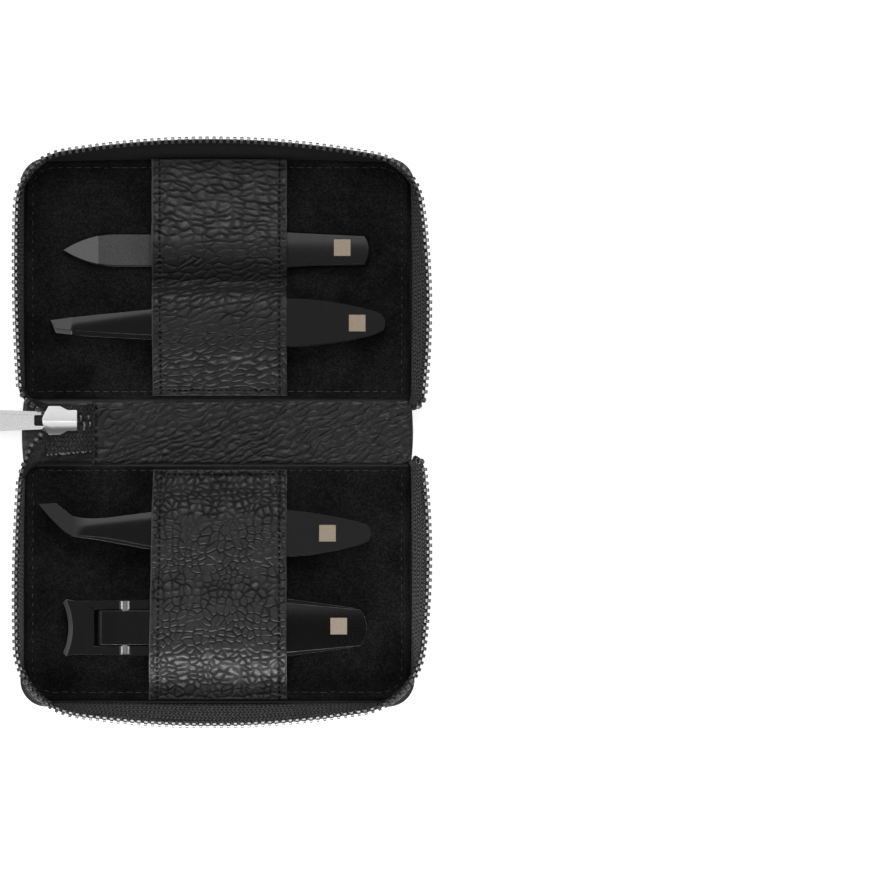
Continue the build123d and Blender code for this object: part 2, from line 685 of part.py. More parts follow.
def clipper_upper_jaw():
    """Sprung upper jaw with a window for the lever and two ears for its axle."""
    z = TOOL_Z + CLIPPER_SHEET * 1.5
    front_z = 8.5
    points = [(-46, front_z), (-36, front_z), (18, z + JAW_RELIEF), (RIVET_X, z), (45, z)]
    sheet = clipper_sheet(points, 2.0)
    plan = clipper_plan(1.4)
    top = front_z + CLIPPER_SHEET / 2
    lip = prism(plan, 7.2, top) & Pos(CLIPPER_EDGE_X, CLIPPER_Y, top) * Box(2 * CLIPPER_LIP, 30, 10)
    jaw = (sheet & prism(plan, 3.5, 12)) + lip
    edge = jaw.edges().filter_by(GeomType.CIRCLE).group_by(Axis.Z)[-1].sort_by(Axis.X)[0]
    jaw = chamfer(edge, CLIPPER_BEVEL)
    x0, x1 = CLIPPER_WINDOW_X
    window = RectangleRounded(x1 - x0, CLIPPER_WINDOW_W, CLIPPER_WINDOW_R)
    window = Pos((x0 + x1) / 2, CLIPPER_Y) * window
    jaw -= prism(window, 0, 20)
    for side in (-1, 1):
        y = CLIPPER_Y + side * (CLIPPER_WINDOW_W + EAR_THICK) / 2
        jaw += Pos(AXLE_X, y, AXLE_Z) * (Rot(90, 0, 0) * Cylinder(EAR_R, EAR_THICK))
        jaw += Pos(AXLE_X, y, (AXLE_Z + EAR_FOOT_Z) / 2) * Box(2 * EAR_R, EAR_THICK, AXLE_Z - EAR_FOOT_Z)
    return jaw - across(AXLE_R, 30) - rivet_shank(10, RIVET_CLEAR)


def clipper_lever():
    """Lever: a tongue in the window, a neck on the axle, and a broad handle."""
    x0, x1 = LEVER_X
    neck, mid, end = LEVER_NECK_W / 2, LEVER_MID_W / 2, LEVER_END_W / 2
    flare, broad = LEVER_FLARE_X
    end_x = x1 - LEVER_END_RUN
    plan = Pos(0, CLIPPER_Y) * make_face(
        [
            Line((x0, -neck), (x0, neck)),
            Line((x0, neck), (flare, neck)),
            Line((flare, neck), (broad, mid)),
            Line((broad, mid), (end_x, end)),
            ThreePointArc((end_x, end), (x1, 0), (end_x, -end)),
            Line((end_x, -end), (broad, -mid)),
            Line((broad, -mid), (flare, -neck)),
            Line((flare, -neck), (x0, -neck)),
        ]
    )
    path = [(x0 - 2, 8.2), (AXLE_X - 2, LEVER_Z), (AXLE_X + 4, LEVER_Z), (45, 7.35)]
    lever = clipper_sheet(path, 6.0) & prism(plan, 0, 20)
    nose = lever.edges().filter_by(Axis.Y).group_by(Axis.X)[0].sort_by(Axis.Z)[-1]
    lever = chamfer(nose, LEVER_NOSE)
    return lever + across(BARREL_R, LEVER_NECK_W) - across(AXLE_R + AXLE_CLEAR, 30)


def clipper_axle():
    """Pin through both ears and the lever."""
    return across(AXLE_R, CLIPPER_WINDOW_W + 2 * EAR_THICK)


def clipper_rivet():
    """Rivet at the rear end: tight in the lower jaw, with play for the upper one to tilt."""
    top = TOOL_Z + 2 * CLIPPER_SHEET + RIVET_CLEAR
    head = Pos(RIVET_X, CLIPPER_Y, top) * upright(RIVET_HEAD_R, 0.4)
    return rivet_shank(top - TOOL_Z) + head


# ------------------------------------------------------------------------------- badge


def badge_rim():
    """Square metal frame let into the front cover."""
    face = RectangleRounded(BADGE_SIZE, BADGE_SIZE, BADGE_R)
    inner = BADGE_SIZE - 2 * BADGE_RIM
    face -= RectangleRounded(inner, inner, BADGE_R * 0.5)
    return Pos(BADGE_X, BADGE_Y, 0) * extrude(face, amount=BADGE_DEPTH)


def badge_plate():
    """Bare enamelled plate inside the frame."""
    inner = BADGE_SIZE - 2 * BADGE_RIM
    face = RectangleRounded(inner, inner, BADGE_R * 0.5)
    return Pos(BADGE_X, BADGE_Y, BADGE_SINK) * extrude(face, amount=BADGE_DEPTH - BADGE_SINK)


def badge_seat():
    """Recess that the badge fills."""
    face = RectangleRounded(BADGE_SIZE, BADGE_SIZE, BADGE_R)
    return Pos(BADGE_X, BADGE_Y, 0) * extrude(face, amount=BADGE_DEPTH)


# ------------------------------------------------------------------------------ the case

os.makedirs("parts", exist_ok=True)

outer = front_cover()
save(outer - badge_seat(), "front_cover")
save(back(outer), "back_cover")
save(badge_rim(), "badge_rim")
save(badge_plate(), "badge_plate")

pairs = {
    "board": board(),
    "lining": lining(),
    "zip_tape": zip_tape(),
    "zip_teeth": zip_teeth(),
    "zip_end_stop": zip_end_stop(),
}
for name, piece in pairs.items():
    save(piece, f"front_{name}")
    save(back(piece), f"back_{name}")

save(prism(spine_section(0.0), 0.0, COVER_THICK), "spine_cover")
save(prism(spine_section(0.8), BOARD_Z, LINING_Z), "spine_board")
save(prism(spine_section(0.3), LINING_Z, INSIDE_Z), "spine_lining")

file_hump = (FILE_Y, FILE_HANDLE_W / 2 + 0.4, FILE_HANDLE_THICK + STRAP_GAP)
leg_height = TWEEZER_MID_Z + TWEEZER_BOW + TWEEZER_LEG - TOOL_Z + STRAP_GAP
slant_hump = (29.1, 7.1, leg_height)
claw_hump = (26.8, 7.1, leg_height)
clipper_hump = (-CLIPPER_Y, CLIPPER_MID_WIDTH / 2 + 0.4, 7.0)
save(strap([file_hump, slant_hump]), "front_strap")
save(back(strap([claw_hump, clipper_hump])), "back_strap")

save(tail_tape(), "zip_tail_tape")
save(tail_teeth(), "zip_tail_teeth")
save(bottom_stop(), "zip_bottom_stop")
save(slider_body(), "slider_body")
save(slider_bail(), "slider_bail")
save(pull_tab(), "pull_tab")
save(pull_thong(), "pull_thong")

save(nail_file(), "nail_file")
slant_reach = (-46, 44.9)
claw_reach = (-48, 41.1)
save(leg(slant_plan(SLANT_EDGE_STEP), 1, *slant_reach), "slant_tweezers_upper_leg")
save(leg(slant_plan(), -1, *slant_reach), "slant_tweezers_lower_leg")
save(leg(claw_plan(CLAW_EDGE_STEP), 1, *claw_reach), "claw_tweezers_upper_leg")
save(leg(claw_plan(), -1, *claw_reach), "claw_tweezers_lower_leg")
save(clipper_lower_jaw(), "clipper_lower_jaw")
save(clipper_upper_jaw(), "clipper_upper_jaw")
save(clipper_lever(), "clipper_lever")
save(clipper_axle(), "clipper_axle")
save(clipper_rivet(), "clipper_rivet")
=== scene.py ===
"""Looks of the manicure set case, laid over the frame's solids. Plain numbers are in millimetres."""
import math

import bpy
import numpy as np
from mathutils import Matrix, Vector
from mathutils.bvhtree import BVHTree


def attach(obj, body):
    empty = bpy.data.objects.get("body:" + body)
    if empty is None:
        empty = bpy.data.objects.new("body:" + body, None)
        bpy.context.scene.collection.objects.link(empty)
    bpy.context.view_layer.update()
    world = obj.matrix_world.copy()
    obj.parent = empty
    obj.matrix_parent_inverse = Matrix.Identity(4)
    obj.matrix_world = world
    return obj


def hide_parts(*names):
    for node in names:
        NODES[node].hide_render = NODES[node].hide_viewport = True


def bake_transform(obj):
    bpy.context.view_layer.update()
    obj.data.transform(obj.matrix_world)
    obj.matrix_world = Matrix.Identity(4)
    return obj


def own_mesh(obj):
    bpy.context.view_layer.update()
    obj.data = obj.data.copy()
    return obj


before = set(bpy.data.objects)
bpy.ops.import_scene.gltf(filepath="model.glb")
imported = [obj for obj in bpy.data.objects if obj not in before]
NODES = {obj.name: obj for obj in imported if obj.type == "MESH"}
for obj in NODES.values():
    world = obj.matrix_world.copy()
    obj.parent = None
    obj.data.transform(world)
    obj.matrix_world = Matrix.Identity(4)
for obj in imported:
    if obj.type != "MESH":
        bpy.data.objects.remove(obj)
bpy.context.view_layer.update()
MM = 0.001

# Outline and levels of the case
FOLD_Y, HALF_X, OUTER_Y, INSIDE = 8.67, 52.5, 73.07, 3.2
CORNER_R = 7.0
STRAP_X0, STRAP_X1 = -17.5, 18.5
HALVES = ((1, "front"), (-1, "back"))


# --- meshes


def mirror_faces(faces, side):
    return faces if side > 0 else [face[::-1] for face in faces]


def make(name, points, faces, material, body=None, slot=None, side=1, smooth=True, values=None, uv=None):
    """Mesh piece. side -1 mirrors it to the back half. values is {attribute name: number per point}."""
    mesh = bpy.data.meshes.new(name)
    points = np.asarray(points, float).reshape(-1, 3) * (MM, side * MM, MM)
    mesh.from_pydata(points, [], mirror_faces(faces, side))
    mesh.validate()
    for key, numbers in (values or {}).items():
        layer = mesh.attributes.new(key, "FLOAT", "POINT")
        layer.data.foreach_set("value", np.asarray(numbers, np.float32).ravel())
    if uv is not None:
        loops = np.empty(len(mesh.loops), np.int32)
        mesh.loops.foreach_get("vertex_index", loops)
        layer = mesh.uv_layers.new(name="UVMap")
        layer.data.foreach_set("uv", np.asarray(uv, np.float32).reshape(-1, 2)[loops].ravel())
    for face in mesh.polygons:
        face.use_smooth = smooth
    mesh.materials.append(material)
    obj = bpy.data.objects.new(name, mesh)
    bpy.context.scene.collection.objects.link(obj)
    if body:
        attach(obj, body)
    return obj


def grid_faces(rows, cols, wrap=False, start=0):
    """Quads of a grid of points stored row by row; wrap closes each row into a ring."""
    i = np.arange(rows - 1)[:, None] * cols
    j = np.arange(cols if wrap else cols - 1)[None, :]
    k = (j + 1) % cols
    quads = np.stack([i + j, i + k, i + cols + k, i + cols + j], -1).reshape(-1, 4)
    return (quads + start).tolist()


def merge(parts):
    """Joins (points, faces) pairs into one pair."""
    points, faces, offset = [], [], 0
    for p, f in parts:
        p = np.asarray(p, float).reshape(-1, 3)
        points.append(p)
        faces += [[v + offset for v in face] for face in f]
        offset += len(p)
    return np.concatenate(points), faces


def capped(rings, count, start=0):
    """Faces of a tube of rings, closed at both ends."""
    last = start + (rings - 1) * count
    caps = [list(range(start, start + count))[::-1], list(range(last, last + count))]
    return grid_faces(rings, count, True, start) + caps


def rim_faces(rows, cols):
    """Quads between the rim of a grid and the rim of the same grid stored after it."""
    rim = [i * cols for i in range(rows)] + [(rows - 1) * cols + j for j in range(1, cols)]
    rim += [i * cols + cols - 1 for i in range(rows - 2, -1, -1)] + list(range(cols - 2, 0, -1))
    low = rows * cols
    return [[a, a + low, b + low, b] for a, b in zip(rim, rim[1:] + rim[:1])]


def lattice(x0, x1, y0, y1, step):
    """X and Y of an even grid, stored row by row along X."""
    rows, cols = int((y1 - y0) / step) + 1, int((x1 - x0) / step) + 1
    gy, gx = np.meshgrid(np.linspace(y0, y1, rows), np.linspace(x0, x1, cols), indexing="ij")
    return gx, gy


# --- lines


def unit(vectors):
    return vectors / (np.linalg.norm(vectors, axis=-1, keepdims=True) + 1e-12)


def full_turn(count):
    return np.arange(count) * 2 * math.pi / count


def lift(line, z):
    """A line in XY at a height."""
    return np.column_stack([line, np.full(len(line), z)])


def reach_of(line):
    """Length along a line at each of its points."""
    return np.concatenate([[0], np.cumsum(np.linalg.norm(np.diff(line, axis=0), axis=1))])


def at_reach(line, reach, at):
    """Points of a line where its reach has the values of at."""
    return np.stack([np.interp(at, reach, line[:, k]) for k in range(line.shape[1])], 1)


def walk(line, at, span):
    """Points of a line at lengths along it, and unit tangents, each taken over span to both sides."""
    reach = reach_of(line)
    ahead, behind = at_reach(line, reach, at + span), at_reach(line, reach, at - span)
    return at_reach(line, reach, at), unit(ahead - behind)


def normals_of(line):
    """Left-hand normals of a line in XY."""
    tangent = unit(np.gradient(line[:, :2], axis=0))
    return np.stack([-tangent[:, 1], tangent[:, 0]], 1)


def curve_through(knots, samples):
    """Smooth curve through knots, and its reach."""
    knots = np.asarray(knots, float)
    t = reach_of(knots)
    slope = np.gradient(knots, t, axis=0)
    fine = np.linspace(0, t[-1], samples)
    k = np.clip(np.searchsorted(t, fine, side="right") - 1, 0, len(t) - 2)
    h = (t[k + 1] - t[k])[:, None]
    u = (fine - t[k])[:, None] / h
    curve = ((2 * u**3 - 3 * u**2 + 1) * knots[k] + (u**3 - 2 * u**2 + u) * h * slope[k]
             + (-2 * u**3 + 3 * u**2) * knots[k + 1] + (u**3 - u**2) * h * slope[k + 1])
    return curve, reach_of(curve)


# --- noise and grain


def smooth(t):
    """Eased step from 0 to 1."""
    t = np.clip(t, 0, 1)
    return t * t * (3 - 2 * t)


def value_noise(x, y, seed, cell):
    """Smooth noise from 0 to 1 with features about cell wide."""
    table = np.random.default_rng(seed).random((64, 64))
    u, v = x / cell, y / cell
    iu, iv = np.floor(u).astype(int), np.floor(v).astype(int)
    fu, fv = smooth(u - iu), smooth(v - iv)
    a = table[iu % 64, iv % 64] * (1 - fu) + table[(iu + 1) % 64, iv % 64] * fu
    b = table[iu % 64, (iv + 1) % 64] * (1 - fu) + table[(iu + 1) % 64, (iv + 1) % 64] * fu
    return a * (1 - fv) + b * fv


def cells(u, v, seed):
    """Jittered cells: distance to the border, room at the nearest corner, how much the border runs
    along u (0 to 1), a random number per cell."""
    table = np.random.default_rng(seed).random((64, 64, 3))
    iu, iv = np.floor(u).astype(int), np.floor(v).astype(int)
    first, second, third = (np.full(u.shape, 9.0) for _ in range(3))
    fx, fy, sx, sy, tone = (np.zeros(u.shape) for _ in range(5))
    for du in (-1, 0, 1):
        for dv in (-1, 0, 1):
            spot = table[(iu + du) % 64, (iv + dv) % 64]
            px, py = iu + du + 0.12 + 0.76 * spot[..., 0] - u, iv + dv + 0.12 + 0.76 * spot[..., 1] - v
            d = np.hypot(px, py)
            nearest, next_one = d < first, (d >= first) & (d < second)
            third = np.where(nearest | next_one, second, np.minimum(third, d))
            second = np.where(nearest, first, np.where(next_one, d, second))
            sx = np.where(nearest, fx, np.where(next_one, px, sx))
            sy = np.where(nearest, fy, np.where(next_one, py, sy))
            fx = np.where(nearest, px, fx)
            fy = np.where(nearest, py, fy)
            tone = np.where(nearest, spot[..., 2], tone)
            first = np.where(nearest, d, first)
    apart = np.hypot(sx - fx, sy - fy) + 1e-6
    return (second**2 - first**2) / (2 * apart), third - first, np.abs(sy - fy) / apart, tone


def pebbles(x, y, cell, seed, stretch=(1.0, 1.0), turn=0.0, crease=0.15, wrinkle=0.0, keep=0.8, warp=1.0):
    """Grain of pebbled leather: (height 0 to 1, depth of the crease 0 to 1). keep is the depth that
    creases across the grain keep; wrinkle adds long wavy creases along it."""
    wx, wy = x, y
    for scale, reach, shift in ((6.0, 2.2, 1), (2.1, 0.9, 5), (0.8, 0.34, 7)):
        wx = wx + warp * reach * (value_noise(x, y, seed + shift, scale) - 0.5)
        wy = wy + warp * reach * (value_noise(x, y, seed + shift + 1, scale) - 0.5)
    c, s = math.cos(turn), math.sin(turn)
    along, across = c * wx + s * wy, -s * wx + c * wy
    gap, corner, lie, tone = cells(along / (cell * stretch[0]), across / (cell * stretch[1]), seed)
    width = crease * (0.5 + 0.9 * value_noise(x, y, seed + 13, 1.7)) + 0.09 * np.clip(1 - corner / 0.4, 0, 1)
    fade = keep + (1 - keep) * smooth((lie - 0.3) / 0.5)
    fade = fade * (0.55 + 0.45 * smooth((value_noise(x, y, seed + 20, 2.6) - 0.2) / 0.3))
    depth = np.clip(1 - gap / width, 0, 1) ** 0.8 * fade
    dome = 1 - (1 - np.clip(gap / 0.55, 0, 1)) ** 2
    height = 0.5 + (0.42 + 0.08 * tone) * dome * (0.5 + 0.5 * fade)
    height = height - 0.12 * value_noise(x, y, seed + 21, 0.7)
    if wrinkle:
        wave = value_noise(along / 7.0 + 3, across * 0.62, seed + 15, 1.0)
        wave = wave + 0.16 * value_noise(x, y, seed + 16, 1.3)
        line = np.abs((wave * 2.6) % 1.0 - 0.5) * 2
        height = height - 0.3 * smooth(np.clip(1 - line / 0.8, 0, 1)) * wrinkle
        depth = np.maximum(depth, smooth(np.clip(1 - line / 0.22, 0, 1) * 1.2) * wrinkle)
    return np.clip(height, 0, 1) * (1 - 0.9 * smooth(depth)), depth


# --- materials


class Shader:
    """Small helper for building a node tree."""

    def __init__(self, name, **constants):
        self.material = bpy.data.materials.new(name)
        self.material.use_nodes = True
        self.nodes = self.material.node_tree.nodes
        self.links = self.material.node_tree.links
        self.bsdf = self.nodes["Principled BSDF"]
        for key, value in constants.items():
            self.bsdf.inputs[key.replace("_", " ")].default_value = value

    def put(self, socket, value):
        """Links a socket to another one, or sets it to a constant."""
        if isinstance(value, bpy.types.NodeSocket):
            self.links.new(value, socket)
        else:
            socket.default_value = value

    def add(self, kind, operation=None, **inputs):
        node = self.nodes.new(kind)
        if operation:
            node.operation = operation
        for key, value in inputs.items():
            slot = int(key[1:]) if key[0] == "i" and key[1:].isdigit() else key.replace("_", " ")
            self.put(node.inputs[slot], value)
        return node

    def math(self, operation, a, b=0.0):
        return self.add("ShaderNodeMath", operation, i0=a, i1=b).outputs[0]

    def plus(self, a, b):
        return self.math("ADD", a, b)

    def minus(self, a, b):
        return self.math("SUBTRACT", a, b)

    def times(self, a, b):
        return self.math("MULTIPLY", a, b)

    def mix(self, fac, a, b):
        node = self.nodes.new("ShaderNodeMix")
        node.data_type = "RGBA"
        for slot, value in ((0, fac), (6, a), (7, b)):
            self.put(node.inputs[slot], value)
        return node.outputs[2]

    def place(self):
        """Object coordinates in millimetres."""
        source = self.nodes.new("ShaderNodeTexCoord").outputs["Object"]
        return self.add("ShaderNodeVectorMath", "MULTIPLY", i0=source, i1=(1 / MM,) * 3).outputs[0]

    def noise(self, where, scale, detail=2.0, rough=0.5):
        node = self.add("ShaderNodeTexNoise", Vector=where, Scale=scale, Detail=detail, Roughness=rough)
        return node.outputs["Fac"]

    def ramp(self, value, low, high, out_low=0.0, out_high=1.0):
        return self.add("ShaderNodeMapRange", i0=value, i1=low, i2=high, i3=out_low, i4=out_high).outputs[0]

    def attribute(self, name):
        node = self.nodes.new("ShaderNodeAttribute")
        node.attribute_name = name
        return node.outputs["Fac"]

    def colour(self, socket):
        self.links.new(socket, self.bsdf.inputs["Base Color"])

    def rough(self, socket):
        self.links.new(socket, self.bsdf.inputs["Roughness"])

    def bump(self, height, strength, distance=0.1):
        node = self.add("ShaderNodeBump", Height=height, Strength=strength, Distance=distance * MM)
        self.links.new(node.outputs[0], self.bsdf.inputs["Normal"])


def grey(value, warm=0.0):
    return (value * (1 + warm), value, value * (1 - warm), 1)


def leather_material(name, tone, roughness=0.37, crease=True):
    s = Shader(name, Specular_IOR_Level=0.45)
    p = s.place()
    mottle = s.noise(p, 0.35, 3)
    pores = s.noise(p, 5.0, 4, 0.65)
    base = s.mix(mottle, grey(tone * 0.7), grey(tone * 1.35))
    shine = s.ramp(pores, 0.3, 0.7, roughness - 0.07, roughness + 0.1)
    if crease:
        # Painted shade: where the crease attribute is high (the grain's creases, stitch pits and seams), the
        # colour goes near black.
        groove = s.attribute("crease")
        base = s.mix(groove, base, grey(tone * 0.05))
        # Painted highlight: where the rim attribute is high, on the straps' left edge, the colour is four
        # times lighter.
        base = s.mix(s.times(s.attribute("rim"), 0.7), base, grey(tone * 4))
        shine = s.plus(shine, s.times(groove, 0.6))
    s.rough(shine)
    s.colour(base)
    s.bump(pores, 0.55, 0.06)
    return s.material


LEATHER = leather_material("pebbled_leather", 0.018)
LEATHER_SOFT = leather_material("spine_leather", 0.019, 0.4)
# A lighter copy of the leather: painted light on the spine's left end, which is lit from the left.
LEATHER_END_LIT = leather_material("spine_end_leather_painted_light", 0.034, 0.42)
LEATHER_EDGE = leather_material("painted_edge", 0.028, 0.38, crease=False)
# Darker copy of the leather: painted shade along the folds.
LEATHER_FOLD_SHADE = leather_material("fold_leather_painted_shade", 0.009, 0.5, crease=False)


def suede_material():
    s = Shader("suede", Roughness=1.0, Specular_IOR_Level=0.05, Sheen_Weight=0.06, Sheen_Roughness=0.6,
               Sheen_Tint=(0.5, 0.5, 0.5, 1))
    p = s.place()
    patches = s.ramp(s.noise(p, 0.07, 4, 0.65), 0.35, 0.65)
    nap = s.noise(p, 1.7, 5, 0.9)
    base = s.mix(patches, grey(0.002), grey(0.008))
    fleck = s.ramp(nap, 0.45, 0.7)
    s.colour(s.mix(s.times(fleck, s.ramp(patches, 0.0, 1.0, 0.45, 1.0)), base, grey(0.036)))
    s.bump(nap, 0.6, 0.12)
    return s.material


SUEDE = suede_material()


WEAVE_ROW, WEAVE_PITCH = 1.2, 1.0


def tape_material(name, light, stray, speck):
    """Herringbone of diagonal threads, on UVs in millimetres: u along the tape, v across."""
    s = Shader(name, Roughness=0.7, Specular_IOR_Level=0.3)
    uv = s.nodes.new("ShaderNodeTexCoord").outputs["UV"]
    along, across = s.add("ShaderNodeSeparateXYZ", i0=uv).outputs[:2]
    zig = s.math("PINGPONG", across, WEAVE_ROW)
    ribs = s.math("DIVIDE", s.plus(along, s.times(zig, 0.75)), WEAVE_PITCH)
    ridge = s.math("SINE", s.times(s.math("FRACT", ribs), math.pi))
    rows = s.math("ABSOLUTE", s.math("SINE", s.times(across, math.pi / WEAVE_ROW)))
    knots = s.times(s.math("POWER", ridge, 2.5), s.math("POWER", rows, 0.7))
    patchy = s.ramp(s.noise(s.place(), 1.4, 3, 0.7), 0.42, 0.6, stray, 0.85)
    knots = s.times(knots, patchy)
    specks = s.ramp(s.noise(s.place(), 2.4, 3, 0.75), 0.52, 0.72, 0.0, speck)
    knots = s.math("MAXIMUM", knots, specks)
    s.colour(s.mix(knots, grey(0.004), grey(light)))
    s.bump(knots, 0.8, 0.22)
    return s.material


TAPE = tape_material("zip_tape_weave", 0.085, 0.05, 0.65)
# Shaded and lit copies of the tape: painted shade for the front half's outer wall, painted light for the
# other walls.
TAPE_SHADED = tape_material("zip_tape_weave_painted_shade", 0.02, 0.3, 0.5)
TAPE_LIT = tape_material("zip_tape_weave_painted_light", 0.23, 0.4, 0.5)


def metal_material(name, tone, roughness, wear_and_highlight=0.3, scratch=8.0, axis_y=None, crown=(0.0, 0.0), ground=None,
                   right=None, ring=None, lean=0.0, soft=0.5):
    """Metal with faint grain. right is the tone to the right of the strap. ground is (x, tone, blur) of a
    ground tip that ends at x. ring is (x, y, radius, tone) of a ground band inside a circle. A crown makes
    a flat face fall away like a barrel from the line y = axis_y + lean * x: it holds the slope far from
    the line, to the left and to the right of the strap."""
    s = Shader(name, Metallic=1.0)
    p = s.place()
    smudge = s.noise(p, 0.5, 4, 0.6)
    grain = s.noise(p, scratch, 3, 0.6)
    x, y = s.add("ShaderNodeSeparateXYZ", i0=p).outputs[:2]

    def smudged(value):
        return s.mix(smudge, grey(value * (1 - wear_and_highlight)), grey(value * (1 + wear_and_highlight * 0.4)))

    colour = smudged(tone)
    height = s.times(grain, 0.002)
    shine = s.plus(s.times(grain, 0.16), roughness - 0.08)
    if right is not None:
        colour = s.mix(s.ramp(x, STRAP_X0, STRAP_X1), colour, smudged(right))
    if ground:
        end, ground_tone, blur = ground
        past = s.ramp(x, end - blur, end + blur)
        colour = s.mix(past, grey(ground_tone), colour)
    if ring:
        ring_x, ring_y, radius, ring_tone = ring
        flat = s.add("ShaderNodeVectorMath", "MULTIPLY", i0=p, i1=(1, 1, 0)).outputs[0]
        away = s.add("ShaderNodeVectorMath", "DISTANCE", i0=flat, i1=(ring_x, ring_y, 0)).outputs["Value"]
        band = s.ramp(away, radius - 0.06, radius + 0.06, 1.0, 0.0)
        colour = s.mix(band, colour, grey(ring_tone))
        shine = s.plus(shine, s.times(band, 0.25))
    s.colour(colour)
    s.rough(shine)
    if axis_y is not None:
        line_y = s.plus(s.times(x, lean), axis_y)
        off = s.times(s.minus(y, line_y), soft)
        bow = s.math("SQRT", s.plus(s.times(off, off), 1.0))
        slope = s.ramp(x, STRAP_X0, STRAP_X1, *crown)
        if ground:
            slope = s.times(slope, past)
        fall = s.times(s.minus(bow, 1.0), s.math("DIVIDE", slope, soft))
        height = s.minus(height, fall)
    s.bump(height, 1.0, 1.0)
    return s.material


def tool_steel(name, tone, roughness, **more):
    return metal_material(name, tone, roughness, 0.12, 14.0, **more)


def slider_material():
    """Satin nickel whose lower face is nearly flat at the ridge and falls away from it."""
    s = Shader("slider_nickel", Metallic=1.0, Roughness=0.28)
    p = s.place()
    split = s.add("ShaderNodeSeparateXYZ", i0=p).outputs
    below = s.math("MAXIMUM", s.minus(3.1, split[1]), 0.0)
    rise = s.times(below, s.minus(0.28, s.times(below, 0.085)))
    s.colour(s.mix(s.noise(p, 0.5, 4, 0.6), grey(0.84), grey(0.95)))
    s.bump(s.plus(rise, s.times(s.noise(p, 8.0, 3), 0.002)), 1.0, 1.0)
    return s.material


NICKEL = metal_material("satin_nickel", 0.93, 0.26, 0.06)
SLIDER_NICKEL = slider_material()
TEETH = metal_material("antique_nickel", 0.25, 0.3, 0.5)
RIM = metal_material("badge_silver", 0.85, 0.18)
AXLE_STEEL = metal_material("axle_steel", 0.34, 0.3, 0.12)
# Lighter steel for bevel faces: a painted highlight along the edges of the clipper's lever and upper jaw.
EDGE_HIGHLIGHT_STEEL = metal_material("edge_highlight_steel", 0.3, 0.35, 0.4)
FILE_STEEL = tool_steel("file_steel", 0.05, 0.28, axis_y=51.0, crown=(0.0, 0.16), ground=(-31.6, 0.16, 0.12),
                        right=0.078)
SLANT_STEEL = tool_steel("slant_tweezers_steel", 0.095, 0.22, axis_y=34.9, lean=0.141, crown=(0.24, 0.0),
                         ground=(-38.6, 0.11, 0.3), right=0.025)
CLAW_STEEL = tool_steel("claw_tweezers_steel", 0.095, 0.22, axis_y=-20.4, lean=0.11, crown=(0.24, 0.0),
                        ground=(-36.2, 0.045, 2.0), right=0.03)
JAW_STEEL = tool_steel("clipper_jaw_steel", 0.023, 0.3, ring=(-56.23, -51.9, 17.88, 0.17))
# Darker copy of the jaw steel: painted shade on the lower jaw, which lies under the upper one.
LOWER_JAW_SHADED_STEEL = tool_steel("lower_jaw_steel_painted_shade", 0.008, 0.4)
LEVER_STEEL = tool_steel("lever_steel", 0.02, 0.26, axis_y=-46.0, crown=(0.0, 0.27), soft=0.13,
                         ground=(-30.8, 0.35, 0.1), right=0.046)


def plain_material(name, tone, roughness, scale=3.0, warm=0.0, bump=0.2, spread=0.25, **constants):
    s = Shader(name, **constants)
    p = s.place()
    n = s.noise(p, scale, 4, 0.6)
    s.colour(s.mix(n, grey(tone * (1 - spread), warm), grey(tone * (1 + spread), warm)))
    s.rough(s.ramp(n, 0.2, 0.8, roughness - 0.06, roughness + 0.06))
    s.bump(n, bump, 0.03)
    return s.material


THREAD = plain_material("thread", 0.038, 0.7, 8.0, bump=0.4)
THREAD_BLACK = plain_material("strap_thread", 0.012, 0.6, 8.0, bump=0.4)
BOARD = plain_material("stiffener", 0.03, 0.9, 2.0)
ENAMEL = plain_material("black_enamel", 0.008, 0.12, 0.8, bump=0.03)
THREAD_LIGHT = plain_material("whip_thread", 0.2, 0.6, 8.0, bump=0.4)
GRIT = plain_material("abrasive", 0.09, 0.7, 3.4, bump=1.0, spread=0.9, Metallic=0.3)
MARK = plain_material("bare_mark", 0.4, 0.42, 2.0, warm=0.22, Metallic=0.6)

for material, nodes in (
    (RIM, "badge_rim"), (ENAMEL, "badge_plate"), (SLIDER_NICKEL, "slider_body"),
    (NICKEL, "slider_bail pull_tab"), (FILE_STEEL, "nail_file"),
    (SLANT_STEEL, "slant_tweezers_lower_leg slant_tweezers_upper_leg"),
    (CLAW_STEEL, "claw_tweezers_lower_leg claw_tweezers_upper_leg"),
    (LOWER_JAW_SHADED_STEEL, "clipper_lower_jaw"), (JAW_STEEL, "clipper_upper_jaw"),
    (LEVER_STEEL, "clipper_lever"), (AXLE_STEEL, "clipper_axle clipper_rivet"),
    (BOARD, "back_board front_board spine_board front_zip_tape back_zip_tape zip_tail_tape"),
    (LEATHER_EDGE, "front_cover back_cover spine_cover spine_lining front_strap back_strap pull_thong"),
    (SUEDE, "front_lining back_lining"), (TEETH, "front_zip_teeth back_zip_teeth zip_tail_teeth"),
    (TEETH, "zip_bottom_stop front_zip_end_stop back_zip_end_stop"),
):
    for node in nodes.split():
        NODES[node].data.materials.clear()
        NODES[node].data.materials.append(material)


# --- outlines and sewing


def rounded(gx, gy, half, far, radius):
    """Maps a square grid onto an outline whose two far corners are round.
    Gives x, y and the distance to the free edges."""
    a = np.clip((np.abs(gx) - half + radius) / radius, 0, 1)
    b = np.clip((gy - far + radius) / radius, 0, 1)
    x = np.where(a > 0, half - radius + radius * a * np.sqrt(1 - b * b / 2), np.abs(gx)) * np.sign(gx)
    y = np.where(b > 0, far - radius + radius * b * np.sqrt(1 - a * a / 2), gy)
    corner = radius - np.hypot(np.abs(x) - half + radius, y - far + radius)
    edge = np.minimum(half - np.abs(x), far - y)
    return x, y, np.where((a > 0) & (b > 0), corner, edge)


